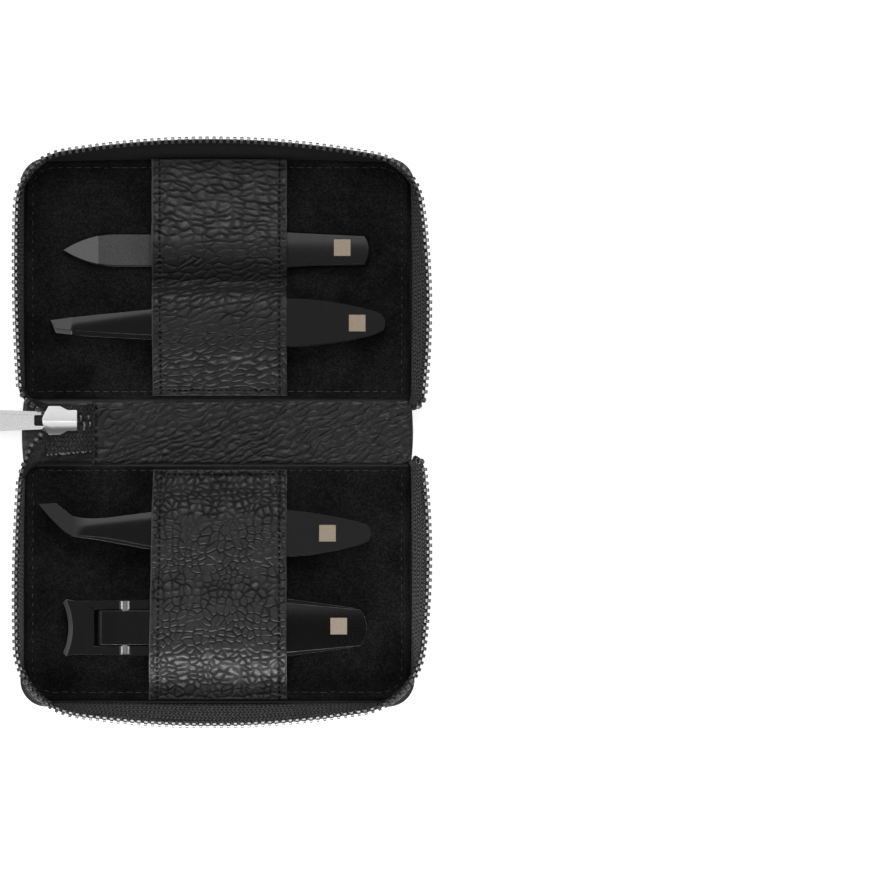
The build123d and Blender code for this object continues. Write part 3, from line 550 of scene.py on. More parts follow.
def cover_width(y):
    """Half width of the outer leather: swollen at the spine's ends, notched at the folds."""
    y = np.abs(y)
    spine = 51.6 + 0.5 * (1 - np.clip(y / 8.32, 0, 1) ** 2)
    t = smooth((y - 8.5) / 1.6)
    return spine * (1 - t) + HALF_X * t - 0.35 * np.exp(-((y - FOLD_Y) / 0.45) ** 2)


def outline_of(rows, cols):
    """Indices of a grid's left column, far row and right column, in order."""
    left = [i * cols for i in range(rows)]
    far = [(rows - 1) * cols + j for j in range(1, cols)]
    right = [i * cols + cols - 1 for i in range(rows - 2, -1, -1)]
    return np.array(left + far + right)


def threads(places, tangents, length, radius):
    """Short threads that sink at both ends. length is a number or one number per thread."""
    ring, stations = 6, 6
    angle = full_turn(ring)
    t = np.linspace(-1, 1, stations)
    body = radius * np.sqrt(np.clip(1 - t**4, 0.08, 1))
    points, faces = [], []
    for place, tangent, long in zip(places, tangents, np.broadcast_to(length, len(places))):
        side = unit(np.cross([0, 0, 1.0], tangent))
        up = np.cross(tangent, side)
        spine = place + tangent * (t[:, None] * long / 2) - up * (0.7 * radius * t[:, None] ** 4)
        loop = side * np.cos(angle)[:, None] + up * np.sin(angle)[:, None]
        faces += capped(stations, ring, len(points) * ring * stations)
        points.append((spine[:, None, :] + body[:, None, None] * loop[None]).reshape(-1, 3))
    return np.concatenate(points), faces


def stitch_run(line, pitch, length, radius, seed=1, short=0.0):
    """A row of stitches along a line, a little uneven. short is how much shorter they are along Y."""
    line = np.asarray(line, float)
    whole = reach_of(line)[-1]
    count = max(2, int(round(whole / pitch)))
    places, tangents = walk(line, (np.arange(count) + 0.5) * whole / count, 0.2)
    rng = np.random.default_rng(seed)
    places = places + rng.normal(0, 0.05, places.shape) * [1, 1, 0.3]
    lengths = length * rng.uniform(0.65, 1.15, len(places)) * (1 - short * np.abs(tangents[:, 1]))
    return threads(places, tangents, lengths, radius)


def tube(line, radius, ring=8):
    """Round bar along a line."""
    line = np.asarray(line, float)
    tangent = unit(np.gradient(line, axis=0))
    side = unit(np.cross(tangent, [0, 0, 1.0]))
    up = np.cross(side, tangent)
    angle = full_turn(ring)[:, None]
    points = line[:, None] + radius * (side[:, None] * np.cos(angle) + up[:, None] * np.sin(angle))
    return points.reshape(-1, 3), capped(len(line), ring)


# --- outer leather


def cover_crown(d):
    """Rise of the padded cover towards its free edges, with the groove of its seam."""
    groove = 0.22 * np.exp(-(((d - 2.5) / 0.4) ** 2))
    return 0.9 * np.clip(1 - d / 4.5, 0, 1) ** 2.2 + groove


BADGE_X, BADGE_Y = 37.4, 59.6
# Turned edge of the leather: (distance out of the outline, level)
EDGE_PROFILE = [(0.02, 0.86), (0.05, 1.15), (0.05, 1.4), (-0.05, 1.68), (-0.3, 1.8), (-1.2, 1.83),
                (-3.2, 1.8), (-3.2, 1.5)]


def outer_skin(side, name, body):
    """Pebbled leather of one half and of half the spine, its turned edge and its seam."""
    gx, gy = lattice(-HALF_X, HALF_X, 0, OUTER_Y, 0.3)
    x, y, d = rounded(gx, gy, HALF_X, OUTER_Y, CORNER_R)
    height, crease = pebbles(x, y * side, 2.3, 11 if side > 0 else 12, (1.1, 1.0), 0.25 * side, wrinkle=0.2)
    flat = smooth(d / 1.2)
    z = cover_crown(d) + 0.26 * (1 - height) * flat
    if side > 0:      # flat seat of the badge
        seat = np.maximum(np.abs(x - BADGE_X), np.abs(y - BADGE_Y))
        near = smooth((seat - 3.5) / 0.6)
        z = np.where(seat < 3.3, 0.62, z * near)
        crease = crease * near
    x = x * cover_width(y) / HALF_X
    points = np.stack([x, y, z], -1).reshape(-1, 3)
    faces = mirror_faces(grid_faces(*gx.shape), -1)
    # Painted shade: the crease attribute darkens the grain's creases.
    skin = make(f"{name}_leather", points, faces, LEATHER, None, "leather", side,
                values={"crease": crease * flat})
    ring = points[outline_of(*gx.shape)][::2, :2]
    normal = normals_of(ring)
    wobble = 0.05 * (value_noise(ring[:, 0], ring[:, 1] * side, 5, 3.0) - 0.5)[:, None]
    loops = [lift(ring + normal * (out + wobble), level) for out, level in EDGE_PROFILE]
    faces = grid_faces(len(loops), len(ring))
    edge = make(f"{name}_leather_edge", loops, faces, LEATHER_EDGE, None, "leather", side)
    seam = lift(ring - normal * 2.5, cover_crown(2.5) - 0.02) * [1, side, 1]
    past_fold = np.abs(seam[:, 1]) > 12.5
    seam = stitch_run(seam[past_fold], 2.2, 1.5, 0.19)
    make(f"{name}_cover_seam", *seam, THREAD_BLACK, body, "leather")
    for piece in (skin, edge):
        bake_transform(piece)
    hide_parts(f"{name}_cover", "spine_cover")


for side, name in HALVES:
    outer_skin(side, name, name)


# --- inner leather and suede


SPINE_LEATHER_X = -33.3      # left edge of the pebbled leather inside the spine
SPINE_HALF_Y = 8.35


def spine_inside():
    """Pebbled leather inside the spine: it starts over the end of the tape, with rolled edges."""
    right = 51.6
    gx, gy = lattice(SPINE_LEATHER_X, right, -SPINE_HALF_Y, SPINE_HALF_Y, 0.22)
    x = np.where(gx > 40, 40 + (gx - 40) * (cover_width(gy * 0.98) - 40.15) / (right - 40), gx)
    x = x + 0.25 * (value_noise(gy, gy * 0, 33, 3.0) - 0.5) * (gx < SPINE_LEATHER_X + 1)
    height, crease = pebbles(x, gy, 2.2, 21, (1.8, 0.85), 0.42, wrinkle=0.5, keep=0.5)
    edge = np.minimum(np.minimum(SPINE_HALF_Y - np.abs(gy), right - gx), gx - SPINE_LEATHER_X)
    roll = np.clip(1 - edge / 1.0, 0, 1) ** 2
    sag = 0.2 * (value_noise(x, gy, 31, 9.0) - 0.5)
    lap = 0.75 * smooth(1 - (gx - SPINE_LEATHER_X) / 7.0)
    column = gx - SPINE_LEATHER_X - 0.95
    phase = np.abs(((gy / 2.1 + 0.35) % 1.0) - 0.5) * 2.1
    pit = np.exp(-((column / 0.36) ** 2)) * smooth((0.8 - phase) / 0.25)
    z = INSIDE + 0.02 - 0.68 * (1 - height) - 0.5 * roll + np.minimum(sag, 0) + lap - 0.35 * pit
    # Painted shade: the crease attribute darkens the creases and the stitch pits.
    obj = make("spine_inner_leather", np.stack([x, gy, z], -1), grid_faces(*gx.shape), LEATHER_SOFT, "spine",
               "leather", values={"crease": np.maximum(crease * 0.85, pit)})
    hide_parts("spine_lining")


def spine_end():
    """Smooth, wrinkled leather of the spine's left end, under the tape and the slider. Its material is a
    lighter copy of the leather: painted light from the left.
    """
    left = -51.9
    gx, gy = lattice(left, SPINE_LEATHER_X + 1.4, -SPINE_HALF_Y, SPINE_HALF_Y, 0.3)
    x = np.where(gx < -45, -45 + (gx + 45) * (cover_width(gy * 0.98) - 45.0) / (-left - 45), gx)
    edge = np.minimum(SPINE_HALF_Y - np.abs(gy), gx - left)
    roll = np.clip(1 - edge / 1.4, 0, 1) ** 2
    wrinkle = value_noise(x * 0.6 + gy * 0.5, gy - x * 0.2, 35, 1.6) + 0.5 * value_noise(x, gy, 36, 0.8)
    z = INSIDE - 0.45 + 0.3 * smooth((-44.5 - gx) / 5) + 0.28 * (wrinkle - 0.75) - 0.8 * roll
    height, crease = pebbles(x, gy, 2.0, 22, (1.4, 0.85), 0.3, keep=0.5)
    grainy = smooth((gx + 48.0) / 4)
    z = z - 0.25 * (1 - height) * grainy
    # Painted shade: the crease attribute darkens the grain's creases.
    make("spine_end_leather_painted_light", np.stack([x, gy, z], -1), grid_faces(*gx.shape), LEATHER_END_LIT, "spine",
         "leather", values={"crease": crease * grainy})


def fold_strip(side, name):
    """Thin leather that bridges a fold on the inside. It is darker than the rest: painted shade in the fold.
    """
    gy, gx = np.meshgrid(np.linspace(7.5, 9.75, 12), np.linspace(-51.2, 51.2, 160), indexing="ij")
    pull = np.clip(1 - ((gy - FOLD_Y) / 1.1) ** 2, 0, 1)
    top = np.stack([gx, gy, 2.62 - 0.35 * pull + 0.04 * (value_noise(gx, gy, 41, 1.5) - 0.5)], -1)
    rows, cols = gy.shape
    faces = grid_faces(rows, cols)
    faces += mirror_faces(grid_faces(rows, cols, start=rows * cols) + rim_faces(rows, cols), -1)
    obj = make(f"{name}_fold_strip", [top, top - [0, 0, 0.35]], faces, LEATHER_FOLD_SHADE, None, "leather", side)
    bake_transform(obj)


LINING_X, LINING_R = 51.35, 7.6
LINING_FAR = {1: 72.75, -1: 71.4}      # outer edge of the suede on the front and back half


def lining(side, name):
    """Suede lining: soft, rolled at its edges, raised a little outside its seam."""
    low, far = 9.02, LINING_FAR[side]
    gx, gy = lattice(-LINING_X, LINING_X, low, far, 0.7)
    x, y, d = rounded(gx, gy, LINING_X, far, LINING_R)
    d = np.minimum(d, y - low)
    outer = np.minimum(LINING_X - np.abs(x), far - y)
    roll = np.clip(1 - d / 0.7, 0, 1) ** 2
    nap = -0.07 * value_noise(x, y, 51, 6.0) - 0.03 * value_noise(x, y, 52, 1.8)
    border = 0.30 * smooth((2.3 - outer) / 1.2)
    seam = -0.14 * np.exp(-(((d - 2.2) / 0.35) ** 2))
    z = INSIDE + nap + border + seam - 0.5 * roll
    points = np.stack([x, y, z], -1)
    obj = make(f"{name}_suede_lining", points, grid_faces(*gx.shape), SUEDE, name, "suede", side)
    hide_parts(f"{name}_lining")
    inset = 2.2
    corner = LINING_R - inset
    cosine, sine = (corner * f(np.linspace(0, math.pi / 2, 14)) for f in (np.cos, np.sin))
    cx, cy, seam_x = LINING_X - LINING_R, far - LINING_R, LINING_X - inset
    left, right = [(-seam_x, low + 1.2), (-seam_x, cy)], [(seam_x, cy), (seam_x, low + 1.2)]
    line = np.concatenate([left, np.column_stack([-cx - cosine, cy + sine]),
                           np.column_stack([cx + sine, cy + cosine]), right])
    fold_y = low + (1.9 if side > 0 else 1.1)
    near = [(-LINING_X + 3.2, fold_y), (LINING_X - 3.2, fold_y)]
    runs = [stitch_run(lift(track, INSIDE - 0.07), 2.45, 1.95, 0.1, side + 4, 0.45) for track in (line, near)]
    make(f"{name}_lining_seam", *merge(runs), THREAD, name, "suede", side)


spine_inside()
spine_end()
for side, name in HALVES:
    fold_strip(side, name)
    lining(side, name)


# --- straps


def sewn(off, run, pitch=1.57):
    """Pits of a seam's stitches, and its channel. off is the distance to the seam, run the place along it."""
    phase = np.abs(((run / pitch) % 1.0) - 0.5) * pitch
    return np.exp(-((off / 0.26) ** 2)) * smooth((0.62 - phase) / 0.25), np.exp(-((off / 0.5) ** 2))


def strap(side, name, knots, seed, cell, stretch, turns, relief, flare, **grain):
    """Pebbled strap over the tools, from knots (y, height of its underside). flare moves its left edge
    at the spine and at the far end."""
    step, thick = 0.2, 1.0
    curve, curve_reach = curve_through(knots, 900)
    reach = np.linspace(0, curve_reach[-1], int(curve_reach[-1] / step) + 1)
    line = at_reach(curve, curve_reach, reach)
    normal = normals_of(line)
    across = np.linspace(STRAP_X0, STRAP_X1, int((STRAP_X1 - STRAP_X0) / step) + 1)
    s, x = np.meshgrid(reach, across, indexing="ij")
    bend = np.interp(reach, np.linspace(0, reach[-1], len(turns)), turns)[:, None]
    height, crease = pebbles(x, s - bend * (x - 0.5), cell, seed, stretch, **grain)
    edge = np.minimum(np.minimum(x - STRAP_X0, STRAP_X1 - x), np.minimum(s, reach[-1] - s))
    side_pit, side_channel = sewn(np.minimum(np.abs(x - STRAP_X0 - 2.1), np.abs(x - STRAP_X1 + 1.9)), s)
    end_pit, end_channel = sewn(np.abs(s - 1.5), x)
    pit = np.maximum(side_pit, end_pit * (np.abs(x - 0.5) < 16.4))
    over = thick - relief * (1 - height) * smooth(edge / 0.6) - 0.42 * np.clip(1 - edge / 0.6, 0, 1) ** 2.5
    over = over - 0.07 * np.maximum(side_channel, end_channel) - 0.45 * pit
    crease = np.maximum(crease * smooth(edge / 0.5), pit)
    # the cut edges: three points each, at these heights and this far out
    blank = np.zeros((len(reach), 3))
    rim, wide = np.array([0.0, 0.35, 0.62]), np.array([0.0, 0.06, 0.04])
    over = np.concatenate([blank + rim, over, blank + rim[::-1]], 1)
    xs = np.concatenate([blank + STRAP_X0 - wide, x, blank + STRAP_X1 + wide[::-1]], 1)
    xs = xs + 0.10 * (value_noise(reach, reach * 0, seed + 5, 4.0) - 0.5)[:, None]
    shift = np.interp(reach, [0, reach[-1]], flare)[:, None]
    xs = xs + shift * np.clip((STRAP_X1 - xs) / (STRAP_X1 - STRAP_X0), 0, 1)
    points = np.stack([xs, line[:, :1] + normal[:, :1] * over, line[:, 1:] + normal[:, 1:] * over], -1)
    # Painted shade: the crease attribute darkens the grain's creases and the stitch pits.
    tone = np.concatenate([blank, crease, blank], 1)
    # Painted highlight on the left edge only: the rim attribute lightens the leather there.
    left_edge_highlight = np.concatenate([blank + 1, smooth(1 - (x - STRAP_X0) / 0.4), blank], 1)
    faces = mirror_faces(capped(*xs.shape), -1)
    obj = make(f"{name}_tool_strap", points, faces, LEATHER, name, "leather", side,
               values={"crease": tone, "rim": left_edge_highlight})
    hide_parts(f"{name}_strap")


FRONT_KNOTS = [(9.9, 3.2), (12.0, 3.7), (14.5, 4.7), (17.0, 5.8), (19.5, 7.0), (21.3, 7.95), (22.9, 8.6),
               (25.0, 9.1), (27.5, 9.55), (30.0, 9.75), (32.5, 9.65), (34.8, 9.2), (36.6, 7.9), (38.0, 5.4),
               (39.4, 3.9), (40.8, 4.1), (42.2, 4.9), (44.0, 5.9), (46.0, 6.8), (48.2, 7.5), (50.6, 7.7),
               (53.6, 7.1), (57.5, 5.8), (62.0, 4.7), (66.5, 3.85), (70.0, 3.4), (72.9, 3.35)]
BACK_KNOTS = [(9.9, 3.2), (12.4, 3.5), (15.5, 5.4), (18.6, 8.2), (21.5, 9.5), (26.8, 9.9), (32.0, 9.6),
              (35.5, 9.0), (39.3, 9.0), (43.2, 10.0), (47.0, 10.4), (53.0, 10.2), (57.8, 9.75), (60.4, 8.6),
              (63.0, 6.4), (65.6, 4.5), (68.4, 3.5), (71.2, 3.35)]
strap(1, "front", FRONT_KNOTS, 61, 2.15, (1.6, 0.88), [0.05, 0.25, 0.3, 0.12, -0.1, -0.12], 0.46, (0.35, 0.1),
      wrinkle=0.2, keep=0.55, warp=0.75, crease=0.17)
strap(-1, "back", BACK_KNOTS, 71, 1.95, (1.05, 1.0), [0.0, -0.1, -0.05, 0.0], 0.5, (0.45, -0.7),
      wrinkle=0.12, keep=0.85, warp=0.8, crease=0.19)


# --- zip tape and teeth

TOOTH_PITCH, TOOTH_LEAN = 1.83, math.radians(35)
WALL_COUNTS = (70, 24, 110, 24, 70)      # points of the runs of a wall's line
WALL_LEFT_Y, WALL_RIGHT_Y = 11.67, 9.42      # its ends
WALL_INSET = 0.3


def circle_through(a, b, c):
    """Centre and radius of the circle through three points in XY."""
    (ax, ay), (bx, by), (cx, cy) = a, b, c
    d = 2 * (ax * (by - cy) + bx * (cy - ay) + cx * (ay - by))
    a2, b2, c2 = ax * ax + ay * ay, bx * bx + by * by, cx * cx + cy * cy
    ux = (a2 * (by - cy) + b2 * (cy - ay) + c2 * (ay - by)) / d
    uy = (a2 * (cx - bx) + b2 * (ax - cx) + c2 * (bx - ax)) / d
    return np.array([ux, uy]), math.hypot(ax - ux, ay - uy)


def arc(centre, radius, start, end, count):
    """Points of an arc, the short way round."""
    a0 = math.atan2(start[1] - centre[1], start[0] - centre[0])
    a1 = math.atan2(end[1] - centre[1], end[0] - centre[0])
    a1 = a0 + (a1 - a0 + math.pi) % (2 * math.pi) - math.pi
    a = np.linspace(a0, a1, count)
    return np.column_stack([centre[0] + radius * np.cos(a), centre[1] + radius * np.sin(a)])


def rounded_meet(one, two, radius, guess):
    """Fillet circle inside two big circles: its centre and where it touches them."""
    (c1, r1), (c2, r2) = one, two
    r1, r2 = r1 - radius, r2 - radius
    gap = np.linalg.norm(c2 - c1)
    a = (r1 * r1 - r2 * r2 + gap * gap) / (2 * gap)
    h = math.sqrt(max(0.0, r1 * r1 - a * a))
    e = (c2 - c1) / gap
    mids = [c1 + e * a + h * np.array([-e[1], e[0]]) * k for k in (-1, 1)]
    centre = min(mids, key=lambda m: np.linalg.norm(m - guess))
    touch = [c + (centre - c) / np.linalg.norm(centre - c) * (r + radius) for c, r in ((c1, r1), (c2, r2))]
    return centre, touch


def wall_line(left, right, out, radius):
    """Edge of the tape wall at one level as five runs: side, corner, outer side, corner, side."""
    left = [WALL_INSET - v for v in left]
    right = [v - WALL_INSET for v in right]
    out = [v - WALL_INSET for v in out]
    radius = radius - WALL_INSET
    ends = [(left[0], WALL_LEFT_Y), (left[2], out[0]), (right[2], out[2]), (right[0], WALL_RIGHT_Y)]
    west = circle_through(ends[0], (left[1], (WALL_LEFT_Y + out[0]) / 2), ends[1])
    north = circle_through(ends[1], (0, out[1]), ends[2])
    east = circle_through(ends[2], (right[1], (WALL_LEFT_Y + out[2]) / 2), ends[3])
    c1, (p1, p2) = rounded_meet(west, north, radius, np.array(ends[1]) + (radius, -radius))
    c2, (p3, p4) = rounded_meet(north, east, radius, np.array(ends[2]) + (-radius, -radius))
    n = WALL_COUNTS
    return [arc(*west, ends[0], p1, n[0]), arc(c1, radius, p1, p2, n[1]), arc(*north, p2, p3, n[2]),
            arc(c2, radius, p3, p4, n[3]), arc(*east, p4, ends[3], n[4])]


def joined(runs):
    """One line from several runs, and where each run starts in it."""
    line, starts = [runs[0]], [0]
    for run in runs[1:]:
        starts.append(sum(len(r) for r in line) - 1)
        line.append(run[1:])
    return np.concatenate(line), starts


SEAM_SIDE = (51.8, 52.0, 51.8)
SEAM_LINE, STARTS = joined(wall_line(SEAM_SIDE, SEAM_SIDE, (72.37, 72.57, 72.37), 6.5))
ROW_SIDES = (52.3, 53.5, 52.7), (54.9, 56.1, 52.6), (72.3, 77.7, 71.5)
ROW_LINES = {side: joined(wall_line(*ROW_SIDES, radius))[0] for side, radius in ((1, 15.0), (-1, 19.0))}
ROW_Z = 9.5
TURN_LEFT = STARTS[1] + int(0.78 * (WALL_COUNTS[1] - 1))
TURN_RIGHT = STARTS[3] + int(0.22 * (WALL_COUNTS[3] - 1))
TURN_EAST = STARTS[3] + int(0.78 * (WALL_COUNTS[3] - 1))


def tape_strip(seam, row, wave=0.0, belly=0.3, seed=81):
    """Woven tape between a sewn edge and the edge with the teeth, with a cord in that edge.
    Both lines are (n, 3). Gives points, faces and UVs."""
    thick, bead = 0.45, 0.7
    rise = row - seam
    height = np.linalg.norm(rise, axis=1)[:, None]
    up = rise / height
    out = unit(np.cross(unit(np.gradient(row, axis=0)), up))
    reach = reach_of(row)[:, None]
    sway = belly + wave * (value_noise(reach, reach * 0, seed, 7.0) - 0.5)
    flank = np.linspace(0, 0.93, 9)
    lower, upper = ([(seam + rise * k + out * (shift + math.sin(math.pi * k) * sway), height * k)
                     for k in flank] for shift in (-thick / 2, thick / 2))
    cord = [(row + up * bead * (math.cos(a) - 0.2) + out * bead * math.sin(a), height + bead * a)
            for a in np.linspace(-0.72, 0.72, 7) * math.pi]
    loops = lower + cord + upper[::-1]
    points = np.stack([loop for loop, _ in loops], 1)
    uv = np.stack([np.column_stack([reach, v]) for _, v in loops], 1)
    return points.reshape(-1, 3), capped(*points.shape[:2]), uv.reshape(-1, 2)


def one_tooth():
    """A tooth that grips the tape's edge: X along the row, Y across the tape, Z out of it.
    It has a nib on one face and a hollow in the other."""
    half = np.array([(-0.42, -0.5), (-0.56, -0.25), (-0.62, 0.1), (-0.82, 0.42), (-0.82, 0.95), (-0.6, 1.4),
                     (-0.26, 1.6)])
    outline = np.concatenate([half, [(0, 1.65)], half[::-1] * [-1, 1], [(0, -0.55)]])
    middle = np.array([0, 0.6])
    circle = unit(outline - middle)
    rings = [(-0.2, (0.22, 0.2)), (-0.47, (0.36, 0.34)), (-0.47, None), (-0.4, None), (0.4, None),
             (0.47, None), (0.47, (0.34, 0.32)), (0.74, (0.2, 0.18))]
    stack = []
    for x, size in rings:
        shape = circle * size if size else (outline - middle) * (0.84 if abs(x) > 0.45 else 1.0)
        stack.append(np.column_stack([np.full(len(outline), x), middle + shape]))
    count, last = len(outline), (len(stack) - 1) * len(outline)
    caps = [list(range(count)), list(range(last, last + count))[::-1]]
    return np.concatenate(stack), mirror_faces(grid_faces(len(stack), count, wrap=True) + caps, -1)


TOOTH = one_tooth()


def teeth_along(places, tangents, ups, seed=91, shape=TOOTH):
    """Teeth at places, each a little off true."""
    rng = np.random.default_rng(seed)
    parts = []
    for place, tangent, up in zip(places, tangents, ups):
        side = unit(np.cross(up, tangent))
        up = np.cross(tangent, side)
        tilt = rng.normal(0, 0.03)
        tangent = tangent * math.cos(tilt) + side * math.sin(tilt)
        parts.append((shape[0] @ np.stack([tangent, np.cross(up, tangent), up]) + place, shape[1]))
    return merge(parts)


def row_teeth(line):
    """Places and directions of the teeth along the row, leaning outwards. line is (n, 3)."""
    whole = reach_of(line)[-1]
    count = int(whole / TOOTH_PITCH)
    at = (whole - (count - 1) * TOOTH_PITCH) * 0.5 + np.arange(count) * TOOTH_PITCH
    places, tangents = walk(line, at, 0.3)
    out = unit(np.column_stack([-tangents[:, 1], tangents[:, 0], np.zeros(count)]))
    return at, places, tangents, out * math.sin(TOOTH_LEAN) + np.array([0, 0, math.cos(TOOTH_LEAN)])


def smooth_line(knots, step=0.4):
    """Smooth curve through knots, as evenly spaced points."""
    curve, reach = curve_through(knots, 400)
    return at_reach(curve, reach, np.linspace(0, reach[-1], max(4, int(reach[-1] / step))))


def paired(one, two):
    """Two smooth curves with the same number of points."""
    a, b = smooth_line(one), smooth_line(two)
    return a, at_reach(b, np.arange(len(b)), np.linspace(0, len(b) - 1, len(a)))


# Where the rows curl in to the spine's right corners: upper edge, then sewn edge
CURL_ROW = [(54.6, 9.42, 9.5), (54.1, 8.3, 8.9), (53.1, 7.5, 7.7), (52.2, 7.0, 6.2)]
CURL_SEAM = [(51.5, 9.42, 1.85), (51.4, 8.9, 1.95), (51.3, 8.4, 2.2), (51.2, 7.9, 2.5)]


def zip_wall(side, name):
    """Tape and teeth of one half, in pieces: the outer side,
    the right side, and the rest. The outer and right pieces get meshes of their own."""
    curl_row, curl_seam = paired(CURL_ROW, CURL_SEAM)
    seam = np.concatenate([lift(SEAM_LINE, 1.85), curl_seam[1:]])
    row = np.concatenate([lift(ROW_LINES[side], ROW_Z), curl_row[1:]])
    spans = {
        "outer": [(TURN_LEFT, TURN_RIGHT)],
        "right": [(TURN_EAST, len(row) - 1)],
        "left": [(0, TURN_LEFT), (TURN_RIGHT, TURN_EAST)],
    }
    reach = reach_of(row)
    at, places, tangents, ups = row_teeth(row)
    for label, ranges in spans.items():
        parts, uvs, picked = [], [], np.zeros(len(at), bool)
        for a, b in ranges:
            points, faces, uv = tape_strip(seam[a:b + 1], row[a:b + 1])
            parts.append((points, faces))
            uvs.append(uv + [reach[a], 0])
            picked |= (at >= reach[a]) & (at < min(reach[b], at[-1]))
        # Painted shade on the front outer wall, painted light on the other walls.
        weave = TAPE_SHADED if side > 0 and label == "outer" else TAPE_LIT
        uv = np.concatenate(uvs)
        tape = make(f"{name}_tape_{label}", *merge(parts), weave, name, "zip_tape", side, uv=uv)
        teeth = teeth_along(places[picked], tangents[picked], ups[picked])
        teeth = make(f"{name}_teeth_{label}", *teeth, TEETH, name, "zip_metal", side, smooth=False)
        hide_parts(f"{name}_zip_tape")
        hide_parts(f"{name}_zip_teeth")
        if label == "outer":
            for piece in (tape, teeth):
                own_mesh(piece)
        if label == "right":
            shape = TOOTH[0] * [1.9, 0.9, 0.75], TOOTH[1]
            stop = teeth_along(places[-1:], tangents[-1:], ups[-1:], shape=shape)
            stop = make(f"{name}_end_stop", *stop, TEETH, name, "zip_metal", side, smooth=False)
            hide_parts(f"{name}_zip_end_stop")
            for piece in (tape, teeth, stop):
                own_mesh(piece)


for side, name in HALVES:
    zip_wall(side, name)


# --- zip at the slider

# Rows of teeth and sewn edges between the walls' left ends and the slider
FRONT_ENTRY = [(-52.0, 11.67, 9.5), (-51.5, 10.4, 9.4), (-50.4, 8.9, 9.2), (-48.9, 7.7, 8.8),
               (-47.2, 6.5, 8.2), (-44.9, 5.2, 7.5)]
FRONT_SEWN = [(-51.3, 11.67, 1.85), (-50.6, 10.2, 2.2), (-49.2, 9.0, 3.3), (-47.4, 8.2, 5.0),
              (-45.9, 7.7, 6.6), (-44.6, 7.3, 7.2)]
BACK_ENTRY = [(-52.0, -11.67, 9.5), (-51.5, -10.2, 9.45), (-50.8, -8.3, 9.2), (-50.2, -6.5, 8.9),
              (-49.5, -4.8, 8.6), (-48.4, -3.2, 8.3), (-46.9, -1.8, 8.0), (-45.6, -0.2, 7.7),
              (-44.6, 1.2, 7.5)]
BACK_SEWN = [(-51.3, -11.67, 1.85), (-50.4, -10.4, 2.0), (-49.2, -9.3, 2.6), (-48.0, -8.4, 3.6),
             (-47.0, -7.7, 4.8), (-46.4, -7.0, 5.8), (-46.0, -6.4, 6.5), (-45.6, -5.9, 7.0),
             (-45.2, -5.4, 7.3)]
TAIL_LEFT, TAIL_RIGHT = -45.6, -32.6


def entry(side, name, row, sewn, seed):
    """Tape and teeth that lead from the end of a wall into the slider."""
    row, sewn = paired(row, sewn)
    if side > 0:
        row, sewn = row[::-1], sewn[::-1]
    points, faces, uv = tape_strip(sewn, row, 0.35, 0.25, seed)
    tape = make(f"{name}_entry_tape", points, faces, TAPE, slot="zip_tape", uv=uv)
    reach = reach_of(row)
    at = np.arange(1.2, reach[-1] - 0.3, TOOTH_PITCH)
    places = at_reach(row, reach, at)
    tangents = unit(at_reach(row, reach, at + 0.4) - places)
    ups = unit(at_reach(row - sewn, reach, at)) * 0.6 + [-0.35, 0, 0.55]
    ups = unit(ups - tangents * (ups * tangents).sum(1)[:, None])
    teeth = teeth_along(places, tangents, ups, seed)
    teeth = make(f"{name}_entry_teeth", *teeth, TEETH, slot="zip_metal", smooth=False)
    for piece in (tape, teeth):
        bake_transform(piece)


def tail_level(x):
    """Height of the tape behind the slider: flat, then down under the spine's leather."""
    return 7.38 - 4.0 * smooth((x + 36.4) / 4.4)


def tail_low(x):
    """Y of its lower edge."""
    return np.interp(x, [TAIL_LEFT, -43.0, -38.0, TAIL_RIGHT], [-6.1, -5.9, -5.5, -5.0])


def tail():
    """The two tapes behind the slider, side by side, with their whipped lower edge and the last teeth."""
    rows, cols = 44, int((TAIL_RIGHT - TAIL_LEFT) / 0.3) + 1
    v, gx = np.meshgrid(np.linspace(0, 1, rows), np.linspace(TAIL_LEFT, TAIL_RIGHT, cols), indexing="ij")
    low = tail_low(gx)
    high = np.interp(gx, [TAIL_LEFT, -41.0, TAIL_RIGHT], [7.7, 7.35, 7.2])
    y = low + (high - low) * v + 0.2 * (value_noise(gx, gx * 0, 38, 2.5) - 0.5) * (1 - v)
    edge = np.minimum(y - low, high - y)
    z = tail_level(gx) + 0.15 * (value_noise(gx, y, 37, 3.5) - 0.5) - 0.5 * np.clip(1 - edge / 1.2, 0, 1) ** 2
    z = z - 0.35 * np.exp(-(((y - 2.4) / 0.5) ** 2)) * (gx > -38)
    top, uv = np.stack([gx, y, z], -1), np.stack([gx, y], -1)
    faces = grid_faces(rows, cols) + mirror_faces(grid_faces(rows, cols, start=rows * cols), -1)
    faces += rim_faces(rows, cols)
    tape = make("tail_tape_weave", [top, top - [0, 0, 0.45]], faces, TAPE, "spine", "zip_tape", uv=[uv, uv])
    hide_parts("zip_tail_tape")
    at = np.arange(-45.2, -33.2, 1.15)
    rng = np.random.default_rng(87)
    places = np.column_stack([at + rng.normal(0, 0.2, len(at)), tail_low(at) + 0.1, tail_level(at) - 0.25])
    slope = np.tile([0.93, -0.36, -0.05], (len(at), 1))
    whip = threads(places, slope, rng.uniform(0.5, 1.5, len(at)), 0.19)
    make("tail_whip_stitches", *whip, THREAD_LIGHT, "spine", "zip_tape")
    bars = []
    for x, y0, y1 in ((-36.3, 4.5, 3.4), (-35.4, 2.95, 0.7), (-34.3, 4.4, 3.7), (-33.9, 2.8, 1.7)):
        staple = ((0, -0.1), (0.2, 0.22), (0.8, 0.22), (1, -0.1))
        bars.append(tube([(x, y0 + (y1 - y0) * k, tail_level(x) + rise) for k, rise in staple], 0.42))
    teeth = make("tail_meshed_teeth", *merge(bars), TEETH, "spine", "zip_metal")
    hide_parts("zip_tail_teeth", "zip_bottom_stop")


